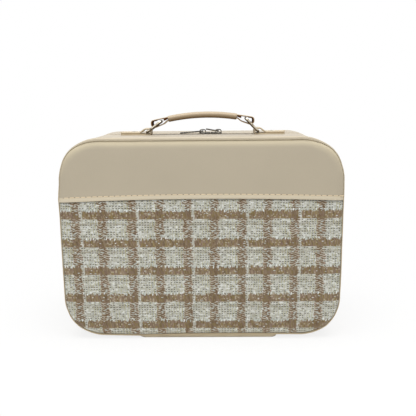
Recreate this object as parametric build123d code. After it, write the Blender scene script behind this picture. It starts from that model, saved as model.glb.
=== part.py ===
# Vanity case: a padded box in two halves, joined by a hinge patch underneath and closed by a zip.
# Millimetres. +Z up, the tweed front faces -Y, the origin is under the middle of the case.
from build123d import *
from math import acos, asin, atan2, cos, degrees, radians, sin, sqrt, tan
import os

# Overall size of the closed case, without the handle
case_width = 300.0
case_height = 219.4
case_depth = 135.0
corner_high = 46.3
corner_low = 41.6
side_bow = 0.4

# Layers of the side walls, from outside to inside
leather_thickness = 1.0
wadding_thickness = 0.6
board_thickness = 1.8
lining_thickness = 0.6

# Front and rear panels
panel_board_thickness = 2.0
panel_crown = 5.0
panel_edge_round = 8.0
panel_edge_wall = 1.2
edge_share = 0.76
round_steps = 5
crown_corner = 6.0
crown_lift = 0.2
yoke_thickness = 1.6
tweed_thickness = 1.0
seam_height_left = 152.2
seam_height_middle = 155.7
seam_height_right = 152.8

# Piped rim
piping_diameter = 3.0
rim_proud = 0.5
rim_gap = 0.1

# Zip: two chains on two tapes round the case, split by a plane across the depth
zip_y = 10.0
chain_width = 6.0
chain_thickness = 2.2
chain_gap = 1.2
tape_width = 14.0
zip_reveal = 6.5
slider_room = 4.0

# Hinge patch underneath
patch_thickness = 4.0
patch_length = 151.0
patch_x = 6.8
patch_setback = 0.4
patch_rib_inset = 10.0
patch_corner = 6.0
hinge_gap = 0.3
chain_tuck = 8.0

# Zip sliders and pulls
slider_length = 12.8
slider_width = 8.0
slider_plate = 1.6
slider_meet_x = 10.6
slider_meet_gap = 0.4
slider_clearance = 0.2
slider_inner_plate = 1.4
slider_inner_width = 7.2
slider_neck_length = 7.0
slider_neck_clearance = 0.1
crown_height = 2.3
crown_wall = 1.1
crown_width = 2.6
crown_room = 5.4
pull_offset = 4.0
pull_left_length = 27.0
pull_right_length = 15.2
pull_width = 6.6
pull_thickness = 1.4
pull_pin_diameter = 1.3
pull_eye_clearance = 0.35
pull_left_droop = 4.4
pull_right_rise = 9.5

# Handle: a leather strap doubled round a core, with a padded wrap at the grip
handle_x = 1.9
handle_y = -6.5
handle_tilt = 1.5
grip_half = 38.3
grip_height = 18.6
grip_rise = 3.4
strap_thickness = 1.3
strap_width = 17.6
core_thickness = 2.1
core_width = 16.0
wrap_thickness = 0.9
wrap_width = 20.0
loop_reach = 57.0
loop_tip_drop = 8.5
loop_corner_drop = 10.9
loop_corner_setback = 3.6
loop_exit_run = 5.0
loop_exit_drop = 3.5
loop_rounds = [2.4, 2.2, 2.6, 6.0, 1.0]

# Wire rings
ring_wire = 2.8
ring_width = 24.0
ring_bar_run = 14.6
ring_corner = 2.4
ring_pivot_half = 61.8
ring_bar_reach = 47.6
ring_bar_clearance = 0.5

# Folded tabs under the rings
tab_width = 17.6
tab_thickness = 1.6
tab_glue = 0.1
tab_end = 91.5
tab_nose = 57.2
tab_fold_height = 7.4
tab_fold_back = 65.5
tab_merge = 71.5
tab_rounds = [1.2, 2.4, 4.0, 4.0]
tab_ring_clearance = 0.4
rivet_reach = 77.2
rivet_head_diameter = 8.0
rivet_head_height = 0.9
rivet_shank_diameter = 3.0
washer_diameter = 9.0
washer_thickness = 0.8

# Inside: padded dividers in the front half, mirror and pocket in the lid
divider_thickness = 5.0
divider_height = 106.0
divider_setback = 12.0
divider_upper_x = 42.0
divider_lower_x = -50.0
divider_clearance = 0.3
mirror_width = 180.0
mirror_height = 96.0
mirror_centre_height = 140.0
mirror_thickness = 2.0
mirror_corner = 12.0
frame_width = 5.0
frame_thickness = 3.4
frame_rebate = 2.0
pocket_height = 58.0
pocket_bottom = 14.0
pocket_thickness = 2.0
binding_width = 6.0
binding_thickness = 1.0

# Derived sizes
shell_width = case_width - 2 * rim_proud
shell_bottom = patch_thickness
shell_top = case_height
shell_middle = (shell_bottom + shell_top) / 2
grip_end_height = shell_top + grip_height
panel_base = case_depth / 2 - panel_crown
bow_span = (shell_top - shell_bottom - corner_high - corner_low) / 2
bow_radius = (bow_span ** 2 + side_bow ** 2) / (2 * side_bow)
bow_centre = shell_width / 2 - bow_radius
high_z = shell_top - corner_high
high_x = bow_centre + sqrt((bow_radius - corner_high) ** 2 - (high_z - shell_middle) ** 2)
high_angle = degrees(atan2(high_z - shell_middle, high_x - bow_centre))
low_z = shell_bottom + corner_low
low_x = bow_centre + sqrt((bow_radius - corner_low) ** 2 - (shell_middle - low_z) ** 2)
low_angle = degrees(atan2(shell_middle - low_z, low_x - bow_centre))
layer_wadding = leather_thickness
layer_board = layer_wadding + wadding_thickness
layer_lining = layer_board + board_thickness
layer_inside = layer_lining + lining_thickness
chain_inset = leather_thickness + wadding_thickness / 2 - chain_thickness / 2
chain_half = chain_width / 2
patch_left = patch_x - patch_length / 2
patch_right = patch_x + patch_length / 2


def outline(inset):
    """Face of the case outline in the XZ plane, drawn flat, moved in by inset."""
    side_radius = bow_radius - inset
    high_radius = corner_high - inset
    low_radius = corner_low - inset
    top = shell_top - inset
    bottom = shell_bottom + inset
    side_turn = low_angle + high_angle
    edges = [
        CenterArc((bow_centre, shell_middle), side_radius, -low_angle, side_turn),
        CenterArc((high_x, high_z), high_radius, high_angle, 90 - high_angle),
        Line((high_x, top), (-high_x, top)),
        CenterArc((-high_x, high_z), high_radius, 90, 90 - high_angle),
        CenterArc((-bow_centre, shell_middle), side_radius, 180 - high_angle, side_turn),
        CenterArc((-low_x, low_z), low_radius, 180 + low_angle, 90 - low_angle),
        Line((-low_x, bottom), (low_x, bottom)),
        CenterArc((low_x, low_z), low_radius, 270, 90 - low_angle),
    ]
    return make_face(edges)


def stand(shape):
    """Turn a shape drawn flat in XY, with its depth along +Z, so that it stands and faces -Y."""
    return Rot(90, 0, 0) * shape


def slab(inset, y_low, y_high):
    """Solid of the case outline between two planes across the depth."""
    return stand(Pos(0, 0, -y_high) * extrude(outline(inset), y_high - y_low))


def ring_wall(inset_out, inset_in, y_low, y_high):
    """Closed wall that follows the case outline between two insets."""
    flat = outline(inset_out) - outline(inset_in)
    return stand(Pos(0, 0, -y_high) * extrude(flat, y_high - y_low))


def block(x_low, x_high, y_low, y_high, z_low, z_high):
    """Box between six limits."""
    size = (x_high - x_low, y_high - y_low, z_high - z_low)
    middle = ((x_low + x_high) / 2, (y_low + y_high) / 2, (z_low + z_high) / 2)
    return Pos(*middle) * Box(*size)


def flip(shape):
    """The same shape on the rear side of the case."""
    return mirror(shape, about=Plane.XZ)


def pillow(skin):
    """Crowned solid of a padded front panel, skin deep under the finished surface."""
    edge = layer_wadding + piping_diameter / 2 + rim_gap + skin
    edge_rise = edge_share * panel_crown - panel_edge_wall - skin
    sections = [(edge, 0.0), (edge, panel_edge_wall)]
    for step in range(1, round_steps + 1):
        angle = radians(90 * step / round_steps)
        inset = edge + panel_edge_round * (1 - cos(angle))
        sections.append((inset, panel_edge_wall + edge_rise * sin(angle)))
    crown_inset = corner_low - crown_corner
    half_way = (edge + panel_edge_round + crown_inset) / 2
    sections.append((half_way, (1 + edge_share) / 2 * panel_crown + crown_lift - skin))
    sections.append((crown_inset, panel_crown - skin))
    wires = [Pos(0, 0, panel_base + rise) * outline(inset) for inset, rise in sections]
    return stand(loft(wires, ruled=True))


def below_seam():
    """Everything under the arched seam of the front panel."""
    half = case_width / 2
    far = half + 2 * panel_edge_round
    arch = ThreePointArc((-half, seam_height_left), (0, seam_height_middle), (half, seam_height_right))
    edges = [
        Line((-far, seam_height_left), (-half, seam_height_left)),
        arch,
        Line((half, seam_height_right), (far, seam_height_right)),
        Line((far, seam_height_right), (far, -far)),
        Line((far, -far), (-far, -far)),
        Line((-far, -far), (-far, seam_height_left)),
    ]
    return stand(extrude(make_face(edges), case_depth))


def piping():
    """Round cord cover along the rim of the front."""
    centre = Pos(0, 0, panel_base + piping_diameter / 2) * outline(layer_wadding)
    path = centre.face().outer_wire()
    start = path @ 0
    section = Plane(origin=start, z_dir=path % 0) * Circle(piping_diameter / 2)
    return stand(sweep(section, path=path))


def hinge_patch(y_low, y_high, rib_low, rib_high):
    """Half of the leather patch underneath, with the raised rib that fills the gap between the walls."""
    sheet = block(patch_left, patch_right, y_low, y_high, 0, patch_thickness)
    corners = sheet.edges().filter_by(Axis.Z).sort_by(lambda edge: abs(edge.center().Y - zip_y))
    sheet = fillet(corners[-2:], patch_corner)
    rib_left = patch_left + patch_rib_inset
    rib_right = patch_right - patch_rib_inset
    rib_top = patch_thickness + leather_thickness
    return sheet + block(rib_left, rib_right, rib_low, rib_high, patch_thickness, rib_top)


def zip_half(inset_out, inset_in, near, far):
    """Part of the zip on the front side, open over the hinge patch."""
    wall = ring_wall(inset_out, inset_in, zip_y - far, zip_y - near)
    room_left = patch_left + chain_tuck
    room_right = patch_right - chain_tuck
    room = block(room_left, room_right, -case_depth, case_depth, -patch_thickness, corner_low / 2)
    return wall - room


def to_lid(shape):
    """Mirror a zip part across the plane where the zip opens."""
    return mirror(shape, about=Plane.XZ.offset(-zip_y))


def slider(side):
    """Zip slider. side is -1 for the left slider and +1 for the right one, nose inwards."""
    nose = slider_meet_x + side * slider_meet_gap / 2
    tail = nose + side * slider_length
    x_low = min(nose, tail)
    x_high = max(nose, tail)
    under = shell_top - chain_inset + slider_clearance
    top = under + slider_plate
    inner_top = shell_top - chain_inset - chain_thickness - slider_clearance
    inner_low = inner_top - slider_inner_plate
    half = slider_width / 2
    outer = block(x_low, x_high, zip_y - half, zip_y + half, under, top)
    outer = fillet(outer.edges().filter_by(Axis.Z), slider_width / 4)
    outer = fillet(outer.faces().sort_by(Axis.Z)[-1].edges(), slider_plate / 3)
    inner_half = slider_inner_width / 2
    inner = block(x_low, x_high, zip_y - inner_half, zip_y + inner_half, inner_low, inner_top)
    inner = fillet(inner.edges().filter_by(Axis.Z), slider_width / 4)
    neck_half = chain_gap / 2 - slider_neck_clearance
    neck_middle = (x_low + x_high) / 2
    neck_low = neck_middle - slider_neck_length / 2
    neck_high = neck_middle + slider_neck_length / 2
    neck = block(neck_low, neck_high, zip_y - neck_half, zip_y + neck_half, inner_top, under)
    pivot = pull_pivot(side)
    return outer + inner + neck + crown(pivot[0], top)


def crown(x, z):
    """Arched bridge on a slider, which the pull hangs from."""
    span = crown_room / 2 + crown_wall
    rise = crown_height + crown_wall
    outer = Pos(0, rise / 2) * Rectangle(2 * span, rise)
    outer = fillet(outer.vertices().group_by(Axis.Y)[-1], rise * 0.7)
    inner = Pos(0, crown_height / 2) * Rectangle(crown_room, crown_height)
    inner = fillet(inner.vertices().group_by(Axis.Y)[-1], crown_height * 0.6)
    arch = stand(extrude(outer - inner, crown_width / 2, both=True))
    return Pos(x, zip_y, z) * arch


def pull_pivot(side):
    """Place of the pin of a pull: x and z."""
    tail = slider_meet_x + side * (slider_meet_gap / 2 + slider_length)
    top = shell_top - chain_inset + slider_clearance + slider_plate
    return tail - side * pull_offset, top + crown_height / 2


def pull(side, length, angle):
    """Zip pull that lies towards -X, its tip raised by angle."""
    eye_half = crown_width / 2 + pull_eye_clearance
    eye_length = crown_height + crown_wall + pull_thickness
    plate = Pos((pull_thickness - length) / 2, 0) * RectangleRounded(
        length, pull_width, pull_width / 3)
    eye = Pos(-eye_length / 2 - pull_pin_diameter / 2, 0) * Rectangle(eye_length, 2 * eye_half)
    mouth = Rectangle(2 * pull_thickness, 2 * eye_half)
    hole = Pos(-length + pull_thickness / 2 + pull_width / 2, 0) * Circle(pull_width / 5)
    body = extrude(plate - eye - mouth - hole, pull_thickness / 2, both=True)
    pin = Rot(90, 0, 0) * Cylinder(pull_pin_diameter / 2, 2 * eye_half)
    x, z = pull_pivot(side)
    return Pos(x, zip_y, z) * Rot(0, angle, 0) * (body + pin)


# Handle curves, drawn flat about the middle of the handle: x along the case, y up
arch_radius = (grip_half ** 2 + grip_rise ** 2) / (2 * grip_rise)
arch_centre = grip_end_height + grip_rise - arch_radius
arch_angle = degrees(asin(grip_half / arch_radius))
ply_offset = core_thickness / 2 + strap_thickness / 2


def on_arch(offset):
    """End of the grip, offset away from its middle line."""
    turn = radians(arch_angle)
    return (arch_radius + offset) * sin(turn), arch_centre + (arch_radius + offset) * cos(turn)


def arch_band(offset_low, offset_high, angle):
    """Flat band along the arch of the grip, angle to each side of the middle."""
    edges = [
        CenterArc((0, arch_centre), arch_radius + offset_high, 90 - angle, 2 * angle),
        CenterArc((0, arch_centre), arch_radius + offset_low, 90 - angle, 2 * angle),
    ]
    left = Line(edges[0] @ 1, edges[1] @ 1)
    right = Line(edges[0] @ 0, edges[1] @ 0)
    return make_face(edges + [left, right])


def loop_path(side):
    """Middle line of the strap round one ring, from the upper ply of the grip to the lower one."""
    slope = tan(radians(arch_angle))
    upper_x, upper_z = on_arch(ply_offset)
    lower_x, lower_z = on_arch(-ply_offset)
    corner = upper_z - slope * (loop_reach - upper_x)
    exit_run = strap_thickness
    points = [
        (upper_x, upper_z),
        (loop_reach, corner),
        (loop_reach, upper_z - loop_tip_drop),
        (loop_reach - loop_corner_setback, upper_z - loop_corner_drop),
        (lower_x + loop_exit_run, lower_z - loop_exit_drop),
        (lower_x + exit_run, lower_z - slope * exit_run),
        (lower_x, lower_z),
    ]
    return FilletPolyline(*[(side * x, z) for x, z in points], radius=loop_rounds)


def handle_frame(shape):
    """Put a flat handle shape, thickened about the middle plane, where the handle stands."""
    tilted = Pos(0, grip_end_height) * Rot(0, 0, handle_tilt) * Pos(0, -grip_end_height) * shape
    return Pos(handle_x, handle_y, 0) * stand(tilted)


def handle_strap():
    """Leather strap: one closed band round the core and both rings."""
    upper = arch_band(ply_offset - strap_thickness / 2, ply_offset + strap_thickness / 2, arch_angle)
    lower = arch_band(-ply_offset - strap_thickness / 2, -ply_offset + strap_thickness / 2, arch_angle)
    loops = [trace(loop_path(side), strap_thickness) for side in (-1, 1)]
    flat = upper + lower + loops[0] + loops[1]
    return handle_frame(extrude(flat, strap_width / 2, both=True))


def handle_core():
    """Stiffening strip between the two plies of the strap."""
    band = arch_band(-core_thickness / 2, core_thickness / 2, arch_angle)
    return handle_frame(extrude(band, core_width / 2, both=True))


def handle_wrap():
    """Leather wrap round the grip."""
    half = core_thickness / 2 + strap_thickness
    reach = half + wrap_thickness
    outside = extrude(arch_band(-reach, reach, arch_angle), wrap_width / 2, both=True)
    long_edges = outside.edges().filter_by(GeomType.CIRCLE)
    outside = fillet(long_edges, half)
    inside = extrude(arch_band(-half, half, arch_angle + 1), strap_width / 2, both=True)
    return handle_frame(outside - inside)


def ring_pivot(side):
    """Place of the lower bar of a ring: x and z."""
    height = shell_top + tab_thickness + tab_ring_clearance + ring_wire / 2
    return handle_x + side * ring_pivot_half, height


def ring_bar_height():
    """Height of the upper bars of the rings, under the upper ply of the strap."""
    slope = tan(radians(arch_angle))
    upper_x, upper_z = on_arch(ply_offset)
    inner_face = upper_z - slope * (ring_bar_reach - upper_x) - strap_thickness / 2
    return inner_face - ring_bar_clearance - ring_wire / 2


def ring_length():
    """Distance between the two bars of a ring, which the height of the handle sets."""
    return sqrt(ring_bar_run ** 2 + (ring_bar_height() - ring_pivot(1)[1]) ** 2)


def ring_lean(side):
    """Angle from upright at which a ring leans inwards under the tilted handle."""
    bar_height = ring_bar_height() + side * ring_bar_reach * sin(radians(handle_tilt))
    return degrees(acos((bar_height - ring_pivot(side)[1]) / ring_length()))


def ring(side):
    """Rectangular wire ring that joins the handle to a tab."""
    half = (ring_width - ring_wire) / 2
    length = ring_length()
    shape = Plane.YZ * Pos(0, length / 2) * RectangleRounded(2 * half, length, ring_corner)
    path = shape.face().outer_wire()
    start = path @ 0.1
    section = Plane(origin=start, z_dir=path % 0.1) * Circle(ring_wire / 2)
    upright = sweep(section, path=path)
    x, z = ring_pivot(side)
    return Pos(x, handle_y, z) * Rot(0, -side * ring_lean(side), 0) * upright


def tab_path(side):
    """Middle line of a folded tab, from its lower end round the nose to its upper end."""
    low = shell_top + tab_thickness / 2
    high = shell_top + tab_fold_height - tab_thickness / 2
    merge = low + tab_thickness + tab_glue
    nose = tab_nose + tab_thickness / 2
    points = [
        (tab_end, low),
        (nose, low),
        (nose, high),
        (tab_fold_back, high),
        (tab_merge, merge),
        (tab_end, merge),
    ]
    return FilletPolyline(*[(handle_x + side * x, z) for x, z in points], radius=tab_rounds)


def tab(side):
    """Leather tab folded round the lower bar of a ring and riveted to the top."""
    flat = trace(tab_path(side), tab_thickness)
    return Pos(0, handle_y, 0) * stand(extrude(flat, tab_width / 2, both=True)) - rivet_hole(side)


def rivet_hole(side):
    """Hole for the shank of a rivet, through the tab and the wall of the case."""
    place = Pos(handle_x + side * rivet_reach, handle_y, shell_top)
    return place * Cylinder(rivet_shank_diameter / 2, 8 * layer_inside)


def rivet(side):
    """Domed rivet."""
    seat = shell_top + 2 * tab_thickness + tab_glue
    foot = shell_top - layer_inside - washer_thickness
    sphere_radius = ((rivet_head_diameter / 2) ** 2 + rivet_head_height ** 2) / (2 * rivet_head_height)
    dome = Pos(0, 0, seat + rivet_head_height - sphere_radius) * Sphere(sphere_radius)
    half = rivet_head_diameter
    head = dome & block(-half, half, -half, half, seat, seat + rivet_head_diameter)
    shank = Pos(0, 0, (seat + foot) / 2) * Cylinder(rivet_shank_diameter / 2, seat - foot)
    return Pos(handle_x + side * rivet_reach, handle_y, 0) * (head + shank)


def washer(side):
    """Washer under the lining that a rivet is closed on."""
    top = shell_top - layer_inside
    disc = Pos(0, 0, top - washer_thickness / 2) * Cylinder(washer_diameter / 2, washer_thickness)
    return Pos(handle_x + side * rivet_reach, handle_y, 0) * disc - rivet_hole(side)


def divider(x_low, x_high, z_low, z_high):
    """Padded divider, trimmed to the inside of the front half."""
    back = -panel_base + panel_board_thickness + lining_thickness + divider_clearance
    front = zip_y - divider_setback
    inside = slab(layer_inside + divider_clearance, back, front)
    return inside & block(x_low, x_high, back, front, z_low, z_high)


def rounded_plate(width, height, corner, y_low, y_high):
    """Flat plate with rounded corners at the height of the mirror."""
    flat = Pos(0, mirror_centre_height) * RectangleRounded(width, height, corner)
    return stand(Pos(0, 0, -y_high) * extrude(flat, y_high - y_low))


parts = {}

# Side walls of the front half
front_end = -panel_base
lip = zip_y - slider_room
holes = rivet_hole(-1) + rivet_hole(1)
parts["body_gusset_leather"] = ring_wall(0, leather_thickness, front_end, zip_y - zip_reveal) - holes
parts["body_gusset_foam"] = ring_wall(layer_wadding, layer_board, front_end, zip_y - tape_width) - holes
parts["body_gusset_board"] = ring_wall(layer_board, layer_lining, front_end, lip) - holes
lining_start = front_end + panel_board_thickness
parts["body_lining_wall"] = ring_wall(layer_lining, layer_inside, lining_start, lip) - holes

# Front panel
foam_skin = yoke_thickness
parts["front_board"] = slab(layer_lining, front_end, lining_start)
parts["front_lining_panel"] = slab(layer_inside, lining_start, lining_start + lining_thickness)
cushion = pillow(foam_skin)
under_seam = below_seam()
parts["front_foam"] = cushion
parts["front_yoke"] = pillow(0) - cushion - under_seam
parts["front_tweed"] = (pillow(yoke_thickness - tweed_thickness) - cushion) & under_seam
parts["front_piping"] = piping()

# Zip of the front half
parts["body_zip_tape"] = zip_half(layer_wadding, layer_board, chain_half, tape_width)
parts["body_zip_teeth"] = zip_half(chain_inset, chain_inset + chain_thickness, chain_gap / 2, chain_half)

# Side walls, panel and zip of the rear half
rear_end = panel_base
rear_lip = zip_y + slider_room
parts["lid_gusset_leather"] = ring_wall(0, leather_thickness, zip_y + zip_reveal, rear_end)
parts["lid_gusset_foam"] = ring_wall(layer_wadding, layer_board, zip_y + tape_width, rear_end)
parts["lid_gusset_board"] = ring_wall(layer_board, layer_lining, rear_lip, rear_end)
rear_lining = rear_end - panel_board_thickness
parts["lid_lining_wall"] = ring_wall(layer_lining, layer_inside, rear_lip, rear_lining)
parts["rear_board"] = flip(parts["front_board"])
parts["lid_lining_panel"] = flip(parts["front_lining_panel"])
parts["rear_foam"] = flip(cushion)
parts["rear_cover"] = flip(pillow(0) - cushion)
parts["rear_piping"] = flip(parts["front_piping"])
parts["lid_zip_tape"] = to_lid(parts["body_zip_tape"])
parts["lid_zip_teeth"] = to_lid(parts["body_zip_teeth"])

# Hinge patch
patch_front = -panel_base + patch_setback
patch_rear = panel_base - patch_setback
body_edge = zip_y - hinge_gap / 2
lid_edge = zip_y + hinge_gap / 2
parts["hinge_patch_body"] = hinge_patch(patch_front, body_edge, zip_y - zip_reveal, body_edge)
parts["hinge_patch_lid"] = hinge_patch(lid_edge, patch_rear, lid_edge, zip_y + zip_reveal)

# Sliders and pulls
parts["slider_left"] = slider(-1)
parts["slider_right"] = slider(1)
parts["pull_left"] = pull(-1, pull_left_length, -pull_left_droop)
parts["pull_right"] = pull(1, pull_right_length, pull_right_rise)

# Handle, rings and tabs
parts["handle_strap"] = handle_strap()
parts["handle_core"] = handle_core()
parts["handle_wrap"] = handle_wrap()
parts["ring_left"] = ring(-1)
parts["ring_right"] = ring(1)
parts["tab_left"] = tab(-1)
parts["tab_right"] = tab(1)
parts["tab_rivets"] = Compound(children=[rivet(-1), rivet(1)])
parts["tab_washers"] = Compound(children=[washer(-1), washer(1)])

# Dividers
divider_top = divider_height + divider_thickness / 2
divider_under = divider_height - divider_thickness / 2
upper_side = divider_upper_x + divider_thickness
lower_side = divider_lower_x + divider_thickness
reach = case_width
parts["divider_long"] = divider(-reach, reach, divider_under, divider_top)
parts["divider_upper"] = divider(divider_upper_x, upper_side, divider_top + divider_clearance, reach)
parts["divider_lower"] = divider(divider_lower_x, lower_side, 0, divider_under - divider_clearance)

# Mirror and pocket in the lid
glue_face = rear_lining - lining_thickness
frame_front = glue_face - frame_thickness
glass = rounded_plate(mirror_width, mirror_height, mirror_corner, glue_face - mirror_thickness, glue_face)
frame_outside = rounded_plate(mirror_width + 2 * frame_width, mirror_height + 2 * frame_width,
                              mirror_corner + frame_width, frame_front, glue_face)
frame_window = rounded_plate(mirror_width - 2 * frame_rebate, mirror_height - 2 * frame_rebate,
                             mirror_corner - frame_rebate, frame_front, glue_face)
parts["mirror_glass"] = glass
parts["mirror_frame"] = frame_outside - frame_window - glass
pocket_front = glue_face - pocket_thickness
pocket_top = pocket_bottom + pocket_height
inside_lid = slab(layer_inside + divider_clearance, pocket_front - binding_thickness, glue_face)
pocket = inside_lid & block(-reach, reach, pocket_front, glue_face, pocket_bottom, pocket_top)
binding = inside_lid & block(-reach, reach, pocket_front - binding_thickness, pocket_front,
                             pocket_top - binding_width, pocket_top)
parts["lid_pocket"] = pocket
parts["pocket_binding"] = binding

os.makedirs("parts", exist_ok=True)
for name, shape in parts.items():
    export_step(shape, f"parts/{name}.step")
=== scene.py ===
import contextlib
import math

import bmesh
import bpy
import numpy as np
from mathutils import Matrix, Vector, noise
from mathutils.bvhtree import BVHTree


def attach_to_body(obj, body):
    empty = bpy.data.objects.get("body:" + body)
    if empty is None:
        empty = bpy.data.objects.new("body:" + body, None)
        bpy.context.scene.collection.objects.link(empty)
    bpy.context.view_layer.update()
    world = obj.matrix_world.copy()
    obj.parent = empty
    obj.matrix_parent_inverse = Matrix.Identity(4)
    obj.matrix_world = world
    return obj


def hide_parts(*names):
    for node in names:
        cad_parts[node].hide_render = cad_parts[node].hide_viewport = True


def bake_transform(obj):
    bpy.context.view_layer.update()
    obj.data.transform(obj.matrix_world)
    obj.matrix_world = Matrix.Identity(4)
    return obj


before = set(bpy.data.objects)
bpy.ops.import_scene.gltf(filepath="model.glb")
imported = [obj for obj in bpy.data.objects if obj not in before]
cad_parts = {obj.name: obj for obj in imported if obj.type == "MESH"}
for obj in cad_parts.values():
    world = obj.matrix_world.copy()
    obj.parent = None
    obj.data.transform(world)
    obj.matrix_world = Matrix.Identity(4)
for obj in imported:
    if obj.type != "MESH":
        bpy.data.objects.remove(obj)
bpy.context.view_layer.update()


# Camera: straight in front of the case and a little above it, looking slightly down.
# Its angles, place and lens come from the outline of the case in the photograph.
def put(name, data):
    """Object for a mesh, lamp or camera, in the scene."""
    made = bpy.data.objects.new(name, data)
    bpy.context.scene.collection.objects.link(made)
    return made


yaw, pitch, roll = -0.01334, 0.18657, -0.009
camera_place, focal_length = (0.015535, -0.638966, 0.253914), 48.092
forward = Vector((math.sin(yaw) * math.cos(pitch), math.cos(yaw) * math.cos(pitch), -math.sin(pitch)))
level = Vector((math.cos(yaw), -math.sin(yaw), 0))
upright = level.cross(forward)
right = math.cos(roll) * level + math.sin(roll) * upright
up = math.cos(roll) * upright - math.sin(roll) * level
camera = put("camera", bpy.data.cameras.new("camera"))
camera.data.lens, camera.data.sensor_width = focal_length, 36
camera.matrix_world = Matrix.Translation(camera_place) @ Matrix((right, up, -forward)).transposed().to_4x4()
bpy.context.scene.camera = camera


# Floor, lamps and background: a pale plain floor under a soft studio light.
# The camera sees the floor as a thin pale veil, so the white sweep shows through it.
class Value:
    """A value in a node tree: arithmetic on it adds nodes, and value[name] is another output of its node."""

    def __init__(self, socket):
        self.socket = socket

    def __getitem__(self, name):
        return Value(self.socket.node.outputs[name])

    __add__ = lambda self, other: reckon("ADD", self, other)
    __sub__ = lambda self, other: reckon("SUBTRACT", self, other)
    __rsub__ = lambda self, other: reckon("SUBTRACT", other, self)
    __mul__ = lambda self, other: reckon("MULTIPLY", self, other)
    __truediv__ = lambda self, other: reckon("DIVIDE", self, other)
    __rtruediv__ = lambda self, other: reckon("DIVIDE", other, self)
    __gt__ = lambda self, other: reckon("GREATER_THAN", self, other)
    __lt__ = lambda self, other: reckon("LESS_THAN", self, other)

    def ramp(self, low, high, start=0.0, end=1.0, **settings):
        """Low to high mapped to start to end."""
        inputs = {"Value": self, "From Min": low, "From Max": high, "To Min": start, "To Max": end}
        return add_node(self.socket.id_data, "ShaderNodeMapRange", inputs, **settings)

    def blend(self, first, second):
        """Mix of two colours; this value is the share of the second."""
        return add_node(self.socket.id_data, "ShaderNodeMix", {"Factor": self, "A": first, "B": second},
                        data_type="RGBA")["Result"]

    def shading(self, colour):
        """The colour multiplied by this value."""
        return add_node(self.socket.id_data, "ShaderNodeMix", {"Factor": 1.0, "A": colour, "B": self},
                        data_type="RGBA", blend_type="MULTIPLY")["Result"]

    def between(self, first, second):
        """Mix of two shaders; this value is the share of the second."""
        return add_node(self.socket.id_data, "ShaderNodeMixShader", {0: self, 1: first, 2: second})


def linear(red, green, blue):
    """Colour given as 0-255 screen values, as the linear colour a shader takes."""
    parts = [value / 255 for value in (red, green, blue)]
    return (*[part / 12.92 if part <= 0.04045 else ((part + 0.055) / 1.055) ** 2.4 for part in parts], 1.0)


def add_node(tree, kind, inputs=None, **settings):
    """Add a node, set its properties and set or link its inputs. A colour of three parts is in screen values."""
    made = tree.nodes.new(kind)
    for key, value in settings.items():
        setattr(made, key, value)
    for key, value in (inputs or {}).items():
        if isinstance(value, Value):
            tree.links.new(value.socket, made.inputs[key])
        elif made.inputs[key].type == "RGBA" and len(value) == 3:
            made.inputs[key].default_value = linear(*value)
        else:
            made.inputs[key].default_value = value
    return Value(made.outputs[0]) if len(made.outputs) else made


def reckon(operation, *values):
    """One arithmetic node on values and numbers."""
    tree = next(value.socket.id_data for value in values if isinstance(value, Value))
    return add_node(tree, "ShaderNodeMath", dict(enumerate(values)), operation=operation)


def new_material(name):
    """Empty node material and its tree."""
    material = bpy.data.materials.new(name)
    material.use_nodes = True
    material.node_tree.nodes.clear()
    return material, material.node_tree


def place(tree, kind="Object"):
    """Coordinates of the surface."""
    return add_node(tree, "ShaderNodeTexCoord")[kind]


floor_material, tree = new_material("pale_floor")
rays = add_node(tree, "ShaderNodeLightPath")
pale = add_node(tree, "ShaderNodeBsdfDiffuse", {"Color": (0.93, 0.93, 0.92, 1)})
clear = add_node(tree, "ShaderNodeBsdfTransparent")
reach = add_node(tree, "ShaderNodeVectorMath", {0: place(tree)}, operation="LENGTH")["Value"]
veil = reach.ramp(0.1, 0.42, 0.2, 0.0, interpolation_type="SMOOTHSTEP").between(clear, pale)
seen = rays["Is Camera Ray"].between(pale, veil)
add_node(tree, "ShaderNodeOutputMaterial", {"Surface": rays["Is Shadow Ray"].between(seen, clear)})

floor_reach = 3.0
floor_mesh = bpy.data.meshes.new("floor")
floor_mesh.from_pydata([(x * floor_reach, y * floor_reach, 0) for x, y in ((-1, -1), (1, -1), (1, 1), (-1, 1))], [],
                       [(0, 1, 2, 3)])
floor_mesh.materials.append(floor_material)
put("floor", floor_mesh)

for name, lamp_place, aim, width, height, power in (
        ("lamp_above", (0, -0.25, 1.5), (0, -0.02, 0.1), 1.6, 1.0, 20),
        ("lamp_front", (-0.25, -1.7, 0.75), (0, 0, 0.12), 1.4, 1.1, 4.5)):
    lamp = put(name, bpy.data.lights.new(name, "AREA"))
    lamp.data.shape, lamp.data.size, lamp.data.size_y, lamp.data.energy = "RECTANGLE", width, height, power
    lamp.location = lamp_place
    lamp.rotation_euler = (Vector(aim) - Vector(lamp_place)).to_track_quat("-Z", "Y").to_euler()

world = bpy.data.worlds.new("studio")
bpy.context.scene.world = world
world.use_nodes = True
tree = world.node_tree
tree.nodes.clear()
rays = add_node(tree, "ShaderNodeLightPath")
plain_white = reckon("MAXIMUM", rays["Is Camera Ray"], rays["Is Glossy Ray"])
plain_white = reckon("MAXIMUM", plain_white, rays["Is Transmission Ray"])
sky, white = [add_node(tree, "ShaderNodeBackground", {"Color": (1, 1, 1, 1), "Strength": strength})
              for strength in (0.42, 1.0)]
add_node(tree, "ShaderNodeOutputWorld", {"Surface": plain_white.between(sky, white)})
bpy.context.scene.view_settings.view_transform = "Standard"


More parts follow.
